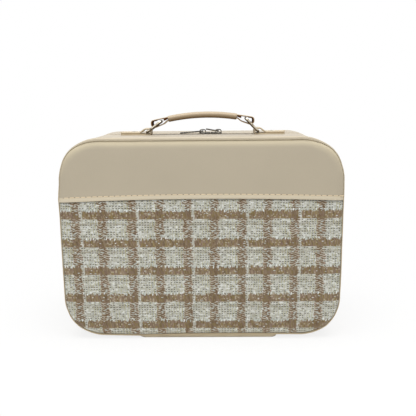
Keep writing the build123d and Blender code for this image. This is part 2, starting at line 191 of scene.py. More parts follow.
# Side walls: one long strip of cream imitation leather round each half of the case, glued over thin
# wadding. Its edge beside the zip is turned under and top-stitched.
def node_group(name, kind, inputs, outputs):
    """Node group and its given inputs. A number stands for a float input, a word for another kind."""
    tree = bpy.data.node_groups.new(name, kind)
    for key, value in inputs.items():
        word = value if isinstance(value, str) else "Float"
        socket = tree.interface.new_socket(key, in_out="INPUT", socket_type="NodeSocket" + word)
        if word == "Float":
            socket.default_value = value
    for key, word in outputs.items():
        tree.interface.new_socket(key, in_out="OUTPUT", socket_type="NodeSocket" + word)
    return tree, add_node(tree, "NodeGroupInput")


def uneven_group():
    """Shared effect: clouds or fine specks, and their share from 0 to 1 between two of their levels."""
    tree, given = node_group("uneven", "ShaderNodeTree",
                             {"Scale": 100.0, "Detail": 3.0, "Roughness": 0.5, "Low": 0.0, "High": 1.0},
                             {"Cloud": "Float", "Share": "Float"})
    cloud = add_node(tree, "ShaderNodeTexNoise", {"Vector": place(tree), "Scale": given["Scale"],
                                                  "Detail": given["Detail"], "Roughness": given["Roughness"]})
    add_node(tree, "NodeGroupOutput", {"Cloud": cloud, "Share": cloud.ramp(given["Low"], given["High"])})
    return tree


uneven = uneven_group()


def clouds(tree, scale, detail, roughness=0.5, low=0.0, high=1.0):
    """The uneven effect at a scale: its cloud, and its share at ["Share"]."""
    return add_node(tree, "ShaderNodeGroup", {"Scale": scale, "Detail": detail, "Roughness": roughness,
                                              "Low": low, "High": high}, node_tree=uneven)


def grain_group():
    """Shared effect: fine pebbled grain with faint creases and a slightly uneven tone."""
    tree, given = node_group("leather_grain", "ShaderNodeTree", {"Grain size": 0.9, "Crease": 0.3, "Mottle": 0.04},
                             {"Shade": "Float", "Height": "Float"})
    pebble = add_node(tree, "ShaderNodeTexVoronoi", {"Vector": place(tree), "Scale": 1000.0 / given["Grain size"]},
                      feature="SMOOTH_F1")["Distance"]
    tone = (clouds(tree, 17.0, 3.0, 0.6) - 0.5) * given["Mottle"] + 1.0
    add_node(tree, "NodeGroupOutput", {"Shade": tone + (pebble * -0.045 + 0.012),
                                       "Height": pebble + clouds(tree, 160.0, 4.0, 0.62) * given["Crease"]})
    return tree


leather_grain = grain_group()


def skin(tree, colour, roughness, relief=None, more=None):
    """Finish a material. Relief is (height, strength, depth in metres); more holds other inputs of its surface."""
    inputs = {"Base Color": colour, "Roughness": roughness, **(more or {})}
    if relief:
        inputs["Normal"] = add_node(tree, "ShaderNodeBump", dict(zip(("Height", "Strength", "Distance"), relief)))
    add_node(tree, "ShaderNodeOutputMaterial", {"Surface": add_node(tree, "ShaderNodeBsdfPrincipled", inputs)})


def leather(tree, tint, grain, bump=0.05, roughness=0.5, gloss=0.35):
    """Finish a material as leather. Grain is its size, creases and mottle."""
    hide = add_node(tree, "ShaderNodeGroup", dict(zip(("Grain size", "Crease", "Mottle"), grain)),
                    node_tree=leather_grain)
    skin(tree, hide["Shade"].shading(tint), roughness, (hide["Height"], bump, 0.0004), {"Specular IOR Level": gloss})


shell_half, shell_low, shell_high = 149.5, 4.0, 219.4
round_high, round_low, side_bow = 46.3, 41.6, 0.4


def rim_stations(start=0.0, end=0.0, step=3.0):
    """Points of the case outline and their outward directions, in mm in the XZ plane.

    They run from start on the underside, round the right side, over the top and back to end."""
    middle = (shell_low + shell_high) / 2
    span = (shell_high - shell_low - round_high - round_low) / 2
    bow = (span ** 2 + side_bow ** 2) / (2 * side_bow)
    bow_x = shell_half - bow
    high_z, low_z = shell_high - round_high, shell_low + round_low
    high_x = bow_x + math.sqrt((bow - round_high) ** 2 - (high_z - middle) ** 2)
    low_x = bow_x + math.sqrt((bow - round_low) ** 2 - (middle - low_z) ** 2)
    high_turn = math.atan2(high_z - middle, high_x - bow_x)
    low_turn = math.atan2(middle - low_z, low_x - bow_x)
    found = []

    def arc(x, z, radius, first, last, sense=1):
        count = max(6, int(radius * abs(last - first) / step))
        for turn in np.linspace(first, last, count, endpoint=False):
            normal = (sense * math.cos(turn), math.sin(turn))
            found.append((x + radius * normal[0], z + radius * normal[1], *normal))

    def straight(first, last, z, normal):
        for x in np.linspace(first, last, max(2, 2 * round(abs(last - first) / step / 2)), endpoint=False):
            found.append((x, z, 0.0, normal))

    straight(start, low_x, shell_low, -1.0)
    arc(low_x, low_z, round_low, -math.pi / 2, -low_turn)
    arc(bow_x, middle, bow, -low_turn, high_turn)
    arc(high_x, high_z, round_high, high_turn, math.pi / 2)
    straight(high_x, -high_x, shell_high, 1.0)
    arc(-high_x, high_z, round_high, math.pi / 2, high_turn, -1)
    arc(-bow_x, middle, bow, high_turn, -low_turn, -1)
    arc(-low_x, low_z, round_low, -low_turn, -math.pi / 2, -1)
    straight(-low_x, end, shell_low, -1.0)
    return found + ([(end, shell_low, 0.0, -1.0)] if start != end else [])


def add_piece(name, points, faces, material):
    """Smooth mesh object from points in mm."""
    mesh = bpy.data.meshes.new(name)
    mesh.from_pydata([tuple(float(part) / 1000 for part in point) for point in points], [], faces)
    mesh.materials.append(material)
    mesh.polygons.foreach_set("use_smooth", [True] * len(mesh.polygons))
    mesh.update()
    return put(name, mesh)


def quads(rows, count, wrap_rows=False, wrap_points=True, flip=False):
    """Four-sided faces between rows of count points."""
    faces = []
    for i in range(rows if wrap_rows else rows - 1):
        here, there = i * count, (i + 1) % rows * count
        for j in range(count if wrap_points else count - 1):
            j2 = (j + 1) % count
            faces.append((here + j, here + j2, there + j2, there + j)[::-1 if flip else 1])
    return faces


def add_grid(name, rows, material, wrap_rows=False, wrap_points=True, caps=False):
    """Mesh from rows of points, with a UV map in metres along the rows and across them."""
    count, total = len(rows[0]), len(rows) * len(rows[0])
    faces = quads(len(rows), count, wrap_rows, wrap_points)
    if caps:
        faces += [tuple(range(count)), tuple(range(total - 1, total - count - 1, -1))]
    piece = add_piece(name, [point for row in rows for point in row], faces, material)
    array = np.array(rows, float)
    along, across = [np.concatenate([[0], np.cumsum(np.linalg.norm(np.diff(line, axis=0), axis=1))]) / 1000
                     for line in (array[:, 0], array[0])]
    layer = piece.data.uv_layers.new(name="UVMap")
    for loop in piece.data.loops:
        layer.data[loop.index].uv = (along[loop.vertex_index // count], across[loop.vertex_index % count])
    return piece


@contextlib.contextmanager
def reshaping(piece):
    """The mesh of a piece, open for changes."""
    work = bmesh.new()
    work.from_mesh(piece.data)
    yield work
    work.to_mesh(piece.data)
    work.free()
    piece.data.update()


def join_points(piece):
    """Make one point of the points of a piece that lie on each other."""
    with reshaping(piece) as work:
        bmesh.ops.remove_doubles(work, verts=work.verts, dist=1e-6)
    return piece


def outward(piece):
    """Turn every face of a closed piece outwards."""
    with reshaping(join_points(piece)) as work:
        bmesh.ops.recalc_face_normals(work, faces=work.faces)
    return piece


def rim_sweep(name, profile, material, start=0.0, end=0.0, step=3.0, stir=None):
    """Closed profile of (inset, y) points carried round the case outline; stir moves them outwards."""
    rows = []
    for x, z, nx, nz in rim_stations(start, end, step):
        deep = [(inset - (stir(x, y, z) if stir else 0.0), y) for inset, y in profile]
        rows.append([(x - inset * nx, y, z - inset * nz) for inset, y in deep])
    return outward(add_grid(name, rows, material, wrap_rows=start == end, caps=start != end))


def attach(piece, body, slot, *nodes):
    """Give a piece its body, and hide the CAD nodes that it stands for. Its slot is not used."""
    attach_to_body(piece, body)
    if nodes:
        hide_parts(*nodes)


def ripple(x, y, z, scale=1.0):
    """Smooth unevenness from -1 to 1."""
    return noise.noise(Vector((x, y, z)) / scale)


# Heights in mm, and how far the hand-made rim stands out from the even outline there, on each side.
left_fullness = ([4.8, 13.6, 22.4, 31, 137, 146, 154.5, 163, 172, 181, 190, 198.5, 207, 215],
                 [-0.2, 0.6, 0.6, 0, 0, 0.25, 0.65, 0, -0.95, -0.95, -0.6, 0.45, 0.9, 0.5])
right_fullness = ([4.8, 13.6, 22.4, 31, 49, 66, 84, 101, 119, 137, 154.5, 163, 172, 190, 198.5, 207, 215],
                  [0.25, 1.4, 1.25, 0.95, 0.85, 1.0, 0.95, 0.7, 0.85, 0.8, 1.1, 1.15, 1.0, 1.1, 1.85, 1.75, 0.8])


def rim_ease(x, z):
    """How far the rim stands out from the even outline at its sides and corners, in mm."""
    beside = min(1.0, max(0.0, (abs(x) - 95.0) / 40.0))
    return beside * float(np.interp(z, *(right_fullness if x > 0 else left_fullness)))


case_cream, tree = new_material("case_leather")
leather(tree, (186, 175, 156), (0.9, 0.5, 0.1))
zip_y, reveal, wall_end = 10.0, 6.5, 62.5


def wall_profile(side):
    """Cross-section of a side wall: side is -1 for the front half and +1 for the rear one."""
    edge = zip_y + side * reveal
    outer = [(0.0, side * wall_end), (0.0, side * (wall_end - 8)), (0.0, side * 34)]
    outer += [(inset, edge + side * away) for inset, away in (
        (0.0, 9), (0.0, 5), (0.05, 3.7), (0.32, 3.0), (0.06, 2.3), (0.0, 1.5), (0.08, 0.6), (0.35, 0.15), (0.62, 0.0),
        (0.9, 0.25), (0.95, 4))]
    return outer + [(0.98, side * wall_end)]


def flare(seed):
    """Unevenness of a side wall, which runs out to the rim of its panel."""
    def stir(x, y, z):
        near_panel = min(1.0, max(0.0, (abs(y) - 22.0) / 40.0))
        return 0.10 * ripple(x + 38.0 * seed, y, z, 38.0) + rim_ease(x, z) * near_panel
    return stir


halves = ((-1, "root", "front", "body"), (1, "lid", "rear", "lid"))
for side, body, half, cad in halves:
    wall = rim_sweep("wall_leather_" + half, wall_profile(side), case_cream, stir=flare(side * 7.0))
    attach(wall, body, "case_leather", cad + "_gusset_leather")


# Wadding: a thin white felt between the leather and the board of each side wall, cut short of the zip.
# It is glued to both.
felt, tree = new_material("felt")
fibres = clouds(tree, 900.0, 6.0, 0.75)
skin(tree, fibres.blend((214, 210, 200), (244, 242, 236)), 0.95, (fibres, 0.5, 0.0006))
wadding_face, wadding_back, tape_edge = 1.02, 1.58, 14.0
for side, body, half, cad in halves:
    low, high = zip_y + side * tape_edge, side * wall_end
    profile = [(wadding_face, low), (wadding_face, high), (wadding_back, high), (wadding_back, low)]
    attach(rim_sweep("wadding_" + half, profile, felt, step=6.0), body, "foam", cad + "_gusset_foam")


# Piped rims: a thin cord wrapped in a strip of the cream leather and sewn between the side wall and the
# padded panel, front and rear. It is fuller along the top, and wrinkles a little round the corners.
def parts(vector):
    """X, Y and Z of a vector."""
    split = add_node(vector.socket.id_data, "ShaderNodeSeparateXYZ", {0: vector})
    return split["X"], split["Y"], split["Z"]


piping_cream, tree = new_material("piping_leather")
# The piping is painted lighter along its upper run and darker lower down, as painted light and shade.
top_light = parts(place(tree))[2].ramp(0.15, 0.205)
leather(tree, top_light.blend((198, 180, 148), (200, 188, 165)), (0.6, 0.6, 0.1), bump=0.06)


def wrinkle(x, y, z):
    """Small creases across the piping, deeper round the corners."""
    corner = max(0.0, abs(x) - 95.0) / 55.0
    return (0.04 + 0.07 * corner) * ripple(x / 3.1, y / 9.0, z / 3.1)


def rim_sag(x, z):
    """How far the lower edge of a padded panel hangs down, left of the middle, in mm."""
    return 1.1 * math.exp(-((x + 65.0) / 38.0) ** 2) * min(1.0, max(0.0, (24.0 - z) / 20.0))


sunk, cord_sides = 0.36, 14
for side, body, half, cad in halves:
    rows = []
    for x, z, nx, nz in rim_stations(step=1.6):
        radius = 0.52 + 1.25 * max(0.0, nz) ** 5 + 0.38 * max(0.0, -nz) ** 3
        row = []
        for turn in np.arange(cord_sides) * (2 * math.pi / cord_sides):
            depth = side * (wall_end + radius + radius * math.sin(turn))
            inset = radius - sunk - radius * math.cos(turn) - rim_ease(x, z) - wrinkle(x, depth, z)
            row.append((x - inset * nx, depth, z - inset * nz - rim_sag(x, z)))
        rows.append(row)
    welt = outward(add_grid("piping_" + half, rows, piping_cream, wrap_rows=True))
    attach(welt, body, "case_leather", half + "_piping")


# Front panel: a foam pad glued to the stiff front board, pressed in round the rim so that it crowns.
# The pad is swelled by a short cloth simulation, and its covers follow the shape that it takes.
panel_edge, edge_wall, edge_round, crown = 0.85, 1.2, 9.0, 5.2
rim_depths = [0.0, 0.12, 0.5, 1.1, 2.0, 3.2, 4.8, 6.4, 8.0, 10.5, 13.5, 17.0, 21.0, 25.0, 29.0, 33.0]
inner_steps, middle_spots = 9, 5
middle_height, middle_half = (shell_low + shell_high) / 2, shell_half - (shell_high - shell_low) / 2


def towards_middle(x, z, share):
    """Where a point is after a share of its way to the panel's middle line, on which points meet in pairs."""
    goal = min(max(x, -middle_half), middle_half)
    if share == 1:
        goal = round(middle_spots * goal / middle_half) * middle_half / middle_spots
    return x + (goal - x) * share, z + (middle_height - z) * share


def panel_rings(under):
    """Rings of (x, rise, z) from the rim of a padded panel to its middle line, so far under its surface."""
    rings = []

    def ring(inset, rise):
        row = []
        for x, z, nx, nz in rim_stations(step=4.0):
            deep = inset + (2.45 * max(0.0, nz) ** 5 + 0.8 * max(0.0, -nz) ** 3) * max(0.0, 1 - inset / 12)
            deep -= rim_ease(x, z) * max(0.0, 1 - inset / 40)
            row.append((x - deep * nx, rise, z - deep * nz - rim_sag(x, z)))
        rings.append(row)

    edge = panel_edge + under
    ring(edge, 0.0)
    ring(edge, edge_wall / 2)
    for depth in rim_depths:
        roll = math.sqrt(max(0.0, 1 - (1 - min(depth, edge_round) / edge_round) ** 2))
        ring(edge + depth, edge_wall + (0.9 * crown - edge_wall - under) * roll)
    last = rings[-1]
    for step in range(1, inner_steps + 1):
        moved = [(rise, *towards_middle(x, z, step / inner_steps)) for x, rise, z in last]
        rings.append([(x, rise, z) for rise, x, z in moved])
    return rings


def finished(piece):
    """The piece with its modifiers worked out."""
    return piece.evaluated_get(bpy.context.evaluated_depsgraph_get())


def swell(rings):
    """How far the pad rises under pressure at each point of its rings, in mm."""
    count, total = len(rings[0]), len(rings)
    narrow = [tuple(0.25 * a + 0.75 * b for a, b in zip(*pair)) for pair in zip(rings[-2], rings[-1])]
    points = [(x, -wall_end - rise, z) for row in rings[:-1] + [narrow] for x, rise, z in row]
    pad = add_piece("pad_trial", points, quads(total, count), felt)
    pad.vertex_groups.new(name="held").add(list(range(3 * count)), 1.0, "REPLACE")
    cloth = pad.modifiers.new("cloth", "CLOTH")
    for key, value in {"quality": 5, "mass": 0.3, "tension_stiffness": 20, "compression_stiffness": 20,
                       "bending_stiffness": 0.6, "use_pressure": True, "uniform_pressure_force": 4,
                       "vertex_group_mass": "held"}.items():
        setattr(cloth.settings, key, value)
    cloth.settings.effector_weights.gravity = 0
    cloth.collision_settings.use_collision = False
    for step in range(1, 21):
        bpy.context.scene.frame_set(step)
    moved = finished(pad).data.vertices
    rise = [[-1000 * moved[i * count + j].co.y - wall_end - rings[i][j][1] for j in range(count)] for i in range(total)]
    bpy.data.objects.remove(pad)
    bpy.context.scene.frame_set(1)
    return np.array(rise)


pad_under, swell_cap, swell_soft = 1.65, 0.9, 6.0
pad_rings = panel_rings(pad_under)
lift = np.zeros((len(pad_rings), len(pad_rings[0])))
lift = swell_cap * np.tanh(swell(pad_rings) / swell_soft)
lift[-2:] = lift[-2:].mean()
for smoothing in range(2):
    lift[1:-1] = (lift[:-2] + 2 * lift[1:-1] + lift[2:]) / 4


def panel_sheet(name, under, side, material):
    """Open sheet over the padded panel, its faces outwards. side is -1 for the front and +1 for the rear."""
    rings = panel_rings(under)
    points = [(x, side * (wall_end + rise + extra), z)
              for row, extras in zip(rings, lift) for (x, rise, z), extra in zip(row, extras)]
    return join_points(add_piece(name, points, quads(len(rings), len(rings[0]), flip=side > 0), material))


foam, tree = new_material("foam")
cells = add_node(tree, "ShaderNodeTexVoronoi", {"Vector": place(tree), "Scale": 1400.0})["Distance"]
skin(tree, cells.blend((222, 218, 200), (244, 241, 228)), 0.9, (cells, 0.6, 0.0005))


def foam_pad(side, body, half):
    """The foam pad of a panel with its flat back."""
    pad = panel_sheet(half + "_pad", pad_under, side, foam)
    with reshaping(pad) as work:
        bmesh.ops.contextual_create(work, geom=[edge for edge in work.edges if edge.is_boundary])
        bmesh.ops.recalc_face_normals(work, faces=work.faces)
    attach(pad, body, "foam", half + "_foam")


foam_pad(-1, "root", "front")


# Yoke: cream leather over the upper part of the front panel. Its arched lower edge is folded under,
# stands a little proud over the tweed and is top-stitched 5 mm above the fold.
def seam_height(x):
    """Height of the lower edge of the yoke, in mm."""
    return 155.7 + 0.002 * x - 3.2 * (x / 150) ** 2


def cut_at_seam(piece, upper, levels, moves):
    """Keep the part of a panel sheet above or below the seam, and move it outwards by moves at levels from it."""
    with reshaping(piece) as work:
        for vert in work.verts:
            vert.co.z -= seam_height(vert.co.x * 1000) / 1000
        cuts = levels + [levels[0] if upper else levels[-1]]
        for k, level in enumerate(cuts):
            last = k == len(cuts) - 1
            bmesh.ops.bisect_plane(work, geom=work.verts[:] + work.edges[:] + work.faces[:], dist=1e-7,
                                   plane_co=(0, 0, level / 1000), plane_no=(0, 0, 1),
                                   clear_inner=last and upper, clear_outer=last and not upper)
        for vert in work.verts:
            rim = min(1.0, max(0.0, -vert.co.y * 1000 - wall_end - 0.6) / 2.5)
            vert.co.y -= rim * float(np.interp(vert.co.z * 1000, levels, moves)) / 1000
            vert.co.z += seam_height(vert.co.x * 1000) / 1000


def solid(piece, thickness):
    """Give an open sheet its thickness inwards, in mm, and make it a plain mesh."""
    wall = piece.modifiers.new("wall", "SOLIDIFY")
    wall.thickness, wall.offset, wall.use_even_offset = thickness / 1000, -1, True
    mesh = bpy.data.meshes.new_from_object(finished(piece))
    piece.modifiers.clear()
    piece.data = mesh
    return piece


# All along the arched seam, x * x * seam_bend + z is the same, in metres.
seam_bend = 0.1422
yoke_leather, tree = new_material("yoke_leather")
x, _, z = parts(place(tree))
# The folded band between the seam and the stitches is painted lighter, as a painted highlight on its bulge.
fold_highlight = (x * x * seam_bend + z).ramp(0.1600, 0.1612, 1.0, 0.0)
# Parts that face upwards, such as the roll along the top, are painted paler as a painted highlight.
upward_highlight = parts(place(tree, "Normal"))[2].ramp(0.04, 0.34)
tint = upward_highlight.blend(fold_highlight.blend((183, 172, 151), (212, 200, 176)), (201, 189, 162))
leather(tree, tint, (0.9, 0.45, 0.1), roughness=0.52)

yoke = panel_sheet("yoke", 0.0, -1, yoke_leather)
cut_at_seam(yoke, True, [0.0, 0.35, 0.9, 1.8, 3.0, 4.2, 4.9, 5.6, 6.6, 8.5, 12.0],
            [-0.55, 0.0, 0.28, 0.42, 0.40, 0.22, 0.02, 0.16, 0.14, 0.05, 0.0])
attach(solid(yoke, 1.35), "root", "case_leather", "front_yoke")


# Top-stitching: cream thread along the yoke's fold and along the turned edges of the side walls. Each
# stitch is one short length of thread that dips into its needle holes.
def named(tree, name, kind="FLOAT_VECTOR"):
    """A guide's attribute."""
    return add_node(tree, "GeometryNodeInputNamedAttribute", {"Name": name}, data_type=kind)["Attribute"]


def repeat(tree, points, item, along, inputs=None):
    """One real copy of an item on each point, its X along a direction and its Z as near 'up' as can be."""
    facing = add_node(tree, "FunctionNodeAlignRotationToVector", {"Vector": along}, axis="X")
    facing = add_node(tree, "FunctionNodeAlignRotationToVector", {"Rotation": facing, "Vector": named(tree, "up")},
                      axis="Z", pivot_axis="X")
    row = add_node(tree, "GeometryNodeInstanceOnPoints",
                   {"Points": points, "Instance": item, "Rotation": facing, **(inputs or {})})
    return add_node(tree, "GeometryNodeRealizeInstances", {"Geometry": row})


def repeat_along(tree, given, item):
    """Real copies of an item at every Pitch of the guide line."""
    guide = add_node(tree, "GeometryNodeMeshToCurve", {"Mesh": given["Geometry"]})
    guide = add_node(tree, "GeometryNodeResampleCurve", {"Curve": guide, "Length": given["Pitch"]}, mode="LENGTH")
    return repeat(tree, guide, item, add_node(tree, "GeometryNodeInputTangent"))


def stitch_run_tree():
    """Geometry nodes: a row of stitches and needle holes along a guide line with an 'up' direction; the holes are flat
    dark discs of painted shade.
    """
    tree, given = node_group("stitch_run", "GeometryNodeTree",
                             {"Geometry": "Geometry", "Pitch": 0.0045, "Length": 0.0036, "Thread": 0.0006,
                              "Dip": 0.0004, "Hole": 0.0004, "Thread material": "Material",
                              "Hole material": "Material"}, {"Geometry": "Geometry"})
    half = given["Length"] * 0.5
    first = add_node(tree, "ShaderNodeCombineXYZ", {"X": half * -1.0})
    last = add_node(tree, "ShaderNodeCombineXYZ", {"X": half})
    line = add_node(tree, "GeometryNodeCurvePrimitiveLine", {"Start": first, "End": last})
    line = add_node(tree, "GeometryNodeResampleCurve", {"Curve": line, "Count": 6})
    share = reckon("ABSOLUTE", parts(add_node(tree, "GeometryNodeInputPosition"))[0] / half)
    drop = add_node(tree, "ShaderNodeCombineXYZ", {"Z": reckon("POWER", share, 3.0) * given["Dip"] * -1.0})
    line = add_node(tree, "GeometryNodeSetPosition", {"Geometry": line, "Offset": drop})
    wire = add_node(tree, "GeometryNodeCurvePrimitiveCircle", {"Resolution": 6, "Radius": given["Thread"] * 0.5})
    thread = add_node(tree, "GeometryNodeCurveToMesh", {"Curve": line, "Profile Curve": wire, "Fill Caps": True})
    shift = add_node(tree, "ShaderNodeCombineXYZ", {"X": given["Pitch"] * 0.5})
    thread = add_node(tree, "GeometryNodeTransform", {"Geometry": thread, "Translation": shift})
    hole = add_node(tree, "GeometryNodeMeshCircle", {"Vertices": 8, "Radius": given["Hole"]}, fill_type="NGON")
    hole = add_node(tree, "GeometryNodeTransform", {"Geometry": hole, "Scale": (1.25, 0.8, 1.0)})
    hole = add_node(tree, "GeometryNodeStoreNamedAttribute", {"Geometry": hole, "Name": "hole", "Value": True},
                    data_type="BOOLEAN", domain="FACE")
    stitch = add_node(tree, "GeometryNodeJoinGeometry")
    for part in (thread, hole):
        tree.links.new(part.socket, stitch.socket.node.inputs[0])
    run = add_node(tree, "GeometryNodeSetMaterial",
                   {"Geometry": repeat_along(tree, given, stitch), "Material": given["Thread material"]})
    run = add_node(tree, "GeometryNodeSetMaterial", {"Geometry": run, "Selection": named(tree, "hole", "BOOLEAN"),
                                                     "Material": given["Hole material"]})
    add_node(tree, "NodeGroupOutput", {0: run})
    return tree


stitch_run = stitch_run_tree()


def guide_mesh(points, edges=(), **vectors):
    """Guide for a geometry tree: points in mm, and named vectors with one for each point."""
    mesh = bpy.data.meshes.new("guide")
    mesh.from_pydata([tuple(part / 1000 for part in point) for point in points], edges, [])
    for name, found in vectors.items():
        field = mesh.attributes.new(name, "FLOAT_VECTOR", "POINT")
        field.data.foreach_set("vector", [part for vector in found for part in vector])
    return put("guide", mesh)


def guide_line(points, ups):
    """Guide line through points in mm, with the outward direction at each."""
    return guide_mesh(points, [(k, k + 1) for k in range(len(points) - 1)], up=ups)


def grow(name, guide, tree, **values):
    """Run a geometry node tree on a guide object and return the plain mesh object it makes."""
    modifier = guide.modifiers.new("grow", "NODES")
    modifier.node_group = tree
    for item in tree.interface.items_tree:
        key = item.name.replace(" ", "_").lower()
        if item.item_type == "SOCKET" and item.in_out == "INPUT" and key in values:
            modifier[item.identifier] = values[key]
    bpy.context.view_layer.update()
    mesh = bpy.data.meshes.new_from_object(finished(guide))
    mesh.name = name
    mesh.polygons.foreach_set("use_smooth", [True] * len(mesh.polygons))
    bpy.data.objects.remove(guide)
    return put(name, mesh)


def matte(name, colour, roughness=0.7, speckle=0.12):
    """Small matte parts such as thread, with a fine uneven tone."""
    material, tree = new_material(name)
    colour = linear(*colour)
    dark = tuple(part * (1 - speckle) for part in colour[:3]) + (1.0,)
    skin(tree, clouds(tree, 1800.0, 2.0).blend(dark, colour), roughness)
    return material


thread_cream = matte("thread_cream", (232, 212, 178))
# The needle holes are flat dark discs: painted shade in the holes.
needle_hole = matte("needle_hole", (112, 88, 60))


def stitches(name, points, ups, pitch=0.0045, length=0.0036, thread=0.0006, dip=0.0004, hole=0.0004):
    """Row of cream stitches through points in mm."""
    return grow(name, guide_line(points, ups), stitch_run, pitch=pitch, length=length, thread=thread, dip=dip,
                hole=hole, thread_material=thread_cream, hole_material=needle_hole)


def seen_from_front(piece):
    """Finder of a piece's surface at (x, z), seen from in front: the point in mm and its outward direction."""
    surface = BVHTree.FromPolygons([v.co for v in piece.data.vertices], [p.vertices for p in piece.data.polygons])

    def find(x, z):
        hit, normal, _, _ = surface.ray_cast(Vector((x / 1000, -0.2, z / 1000)), Vector((0, 1, 0)))
        return (hit * 1000, normal) if hit else (None, None)
    return find


on_yoke = seen_from_front(yoke)
spots = [on_yoke(x, seam_height(x) + 4.9) for x in np.linspace(-143.5, 144.0, 120)]
row = stitches("yoke_stitches", [hit + normal * 0.08 for hit, normal in spots], [normal for _, normal in spots],
               pitch=0.00595, length=0.0049, thread=0.0008, dip=0.0005, hole=0.00055)
attach(row, "root", "case_leather")

patch_middle, patch_half = 6.8, 75.5
for side, body, half, cad in halves:
    stations = rim_stations(step=4.0)
    cut = [k for k, (x, z, _, _) in enumerate(stations)
           if z > shell_low + 1 or abs(x - patch_middle) > patch_half + 1]
    start = next(k for k in cut if k - 1 not in cut)
    order = [stations[k] for k in sorted(cut, key=lambda k: (k - start) % len(stations))]
    row_y = zip_y + side * (reveal + 3.0)
    row = stitches("wall_stitches_" + half, [(x - 0.22 * nx, row_y, z - 0.22 * nz) for x, z, nx, nz in order],
                   [(nx, 0.0, nz) for _, _, nx, nz in order])
    attach(row, body, "case_leather")


# Tweed: a loose check of bluish-white slub yarn and brown yarn, glued over the lower part of the pad and
# tucked under the yoke. Brown bands and stripes cross it, and single slubs stand out of the weave.
def floor(value):
    """Whole part of a value."""
    return reckon("FLOOR", value)


def fract(value):
    """What a value has over its whole part."""
    return reckon("FRACT", value)


def pingpong(value, half):
    """Distance from the nearest even multiple of half."""
    return reckon("PINGPONG", value, half)


def chance(across, up):
    """A fixed random number from 0 to 1 for each whole pair of values."""
    tree = (across if isinstance(across, Value) else up).socket.id_data
    pair = add_node(tree, "ShaderNodeCombineXYZ", {"X": across, "Y": up})
    return add_node(tree, "ShaderNodeTexWhiteNoise", {"Vector": pair}, noise_dimensions="2D")["Value"]


def near_line(value, pitch, middle, half, blur=0.5):
    """1 within half of the lines middle + n * pitch, falling to 0 over blur; pitch 0 is a single line."""
    away = value - middle
    if pitch:
        away = pingpong(away, pitch / 2)
    return (half - reckon("ABSOLUTE", away)).ramp(-blur / 2, blur / 2)


# Plaid: stripes go up, bands go across. The stripes stand where the photograph has them.
stripe_pitch, first_stripe, band_pitch, first_band, cloth_wide = 28.83, -131.0, 30.445, 17.0, 300.0
stripe_places = [-132.3, -104.4, -72.35, -43.6, -13.8, 13.95, 43.7, 70.3, 99.0, 126.55]
tweed_weave, tree = new_material("tweed")
wide, deep, high = parts(place(tree))
wobble = clouds(tree, 22.0, 2.0) * 2.0 - 1.0
drawn = add_node(tree, "ShaderNodeFloatCurve", {"Value": wide * (1000 / cloth_wide) + 0.5})
curve = drawn.socket.node.mapping
points = curve.curves[0].points
even_places = [first_stripe + k * stripe_pitch for k in range(len(stripe_places))]
points[0].location = (0.0, (even_places[0] - stripe_places[0]) / cloth_wide)
points[1].location = (1.0, 1 + (even_places[-1] - stripe_places[-1]) / cloth_wide)
for stripe_x, even_x in zip(stripe_places, even_places):
    points.new(0.5 + stripe_x / cloth_wide, 0.5 + even_x / cloth_wide)
for point in points:
    point.handle_type = "VECTOR"
curve.update()
x = drawn * cloth_wide + (wobble - cloth_wide / 2)
z = high * 1000.0 + wobble * 0.45

# Threads: each row and column of the weave, and the luck of its yarn.
row_pitch, column_pitch, check_pitch = 1.27, 1.44, 2.88
row, in_row = floor(z / row_pitch), fract(z / row_pitch)
column, in_column = floor(x / column_pitch), fract(x / column_pitch)
row_luck, column_luck, cell = chance(3.0, row), chance(column, 5.0), chance(column, row)
slub = chance(floor((row_luck * 31.0 + x) / 3.7), row)
fibre = clouds(tree, 1500.0, 3.0)

# White ground, with small gaps between its threads painted dark as painted shade, and an olive thread in each block.
white = slub.blend((176, 175, 164), (226, 227, 222))
white = ((cell > 0.72) * 0.5).blend(white, (166, 164, 146))
above = z - first_band
level = above - reckon("ROUND", above / band_pitch) * band_pitch
sparse = near_line(level, 0, -9.6, 1.7, 2.0)
gap_row, gap_column = z / (2 * row_pitch), x / check_pitch
gap_luck = chance(floor(gap_column), floor(gap_row))
shaded_gap = near_line(gap_row, 1.0, 0.5, 0.2, 0.12) * near_line(gap_column, 1.0, 0.5, gap_luck * 0.24 + 0.10, 0.12)
shaded_gap = shaded_gap * (gap_luck > sparse * -0.3 + 0.42)
strong = fract((x - first_stripe) / stripe_pitch).ramp(0.2, 0.85, 0.25, 0.85)
thin = near_line(x, check_pitch, 0.4, 0.42, 0.3) * (chance(column, row + 90.0) > 0.4)
white = (thin * strong).blend(white, (176, 170, 118))
white = (sparse * 0.3).blend(white, (132, 120, 92))
white = (shaded_gap * 0.92).blend(white, (88, 84, 68))

# Brown stripes: short dashes of brown yarn, zigzag and ragged at their ends.
dash_row = (z + pingpong(x, 3.6) * 0.4) / 2.52
dash_luck = chance(floor(x / 3.3), floor(dash_row))
dash = fract(dash_row) < dash_luck * 0.3 + 0.44
ragged, swerve = chance(7.0, floor(dash_row)) * 2.6 + 3.0, chance(9.0, floor(dash_row)) * 1.8 - 0.9
stripe = near_line(x + swerve, stripe_pitch, first_stripe, ragged, 0.8)
brown = fibre.blend((84, 68, 50), (152, 130, 104))
brown = ((cell > 0.93) * 0.6).blend(brown, (180, 150, 134))
checked = (stripe * 0.55).blend(white, (184, 170, 150))
checked = (stripe * dash).blend(checked, brown)

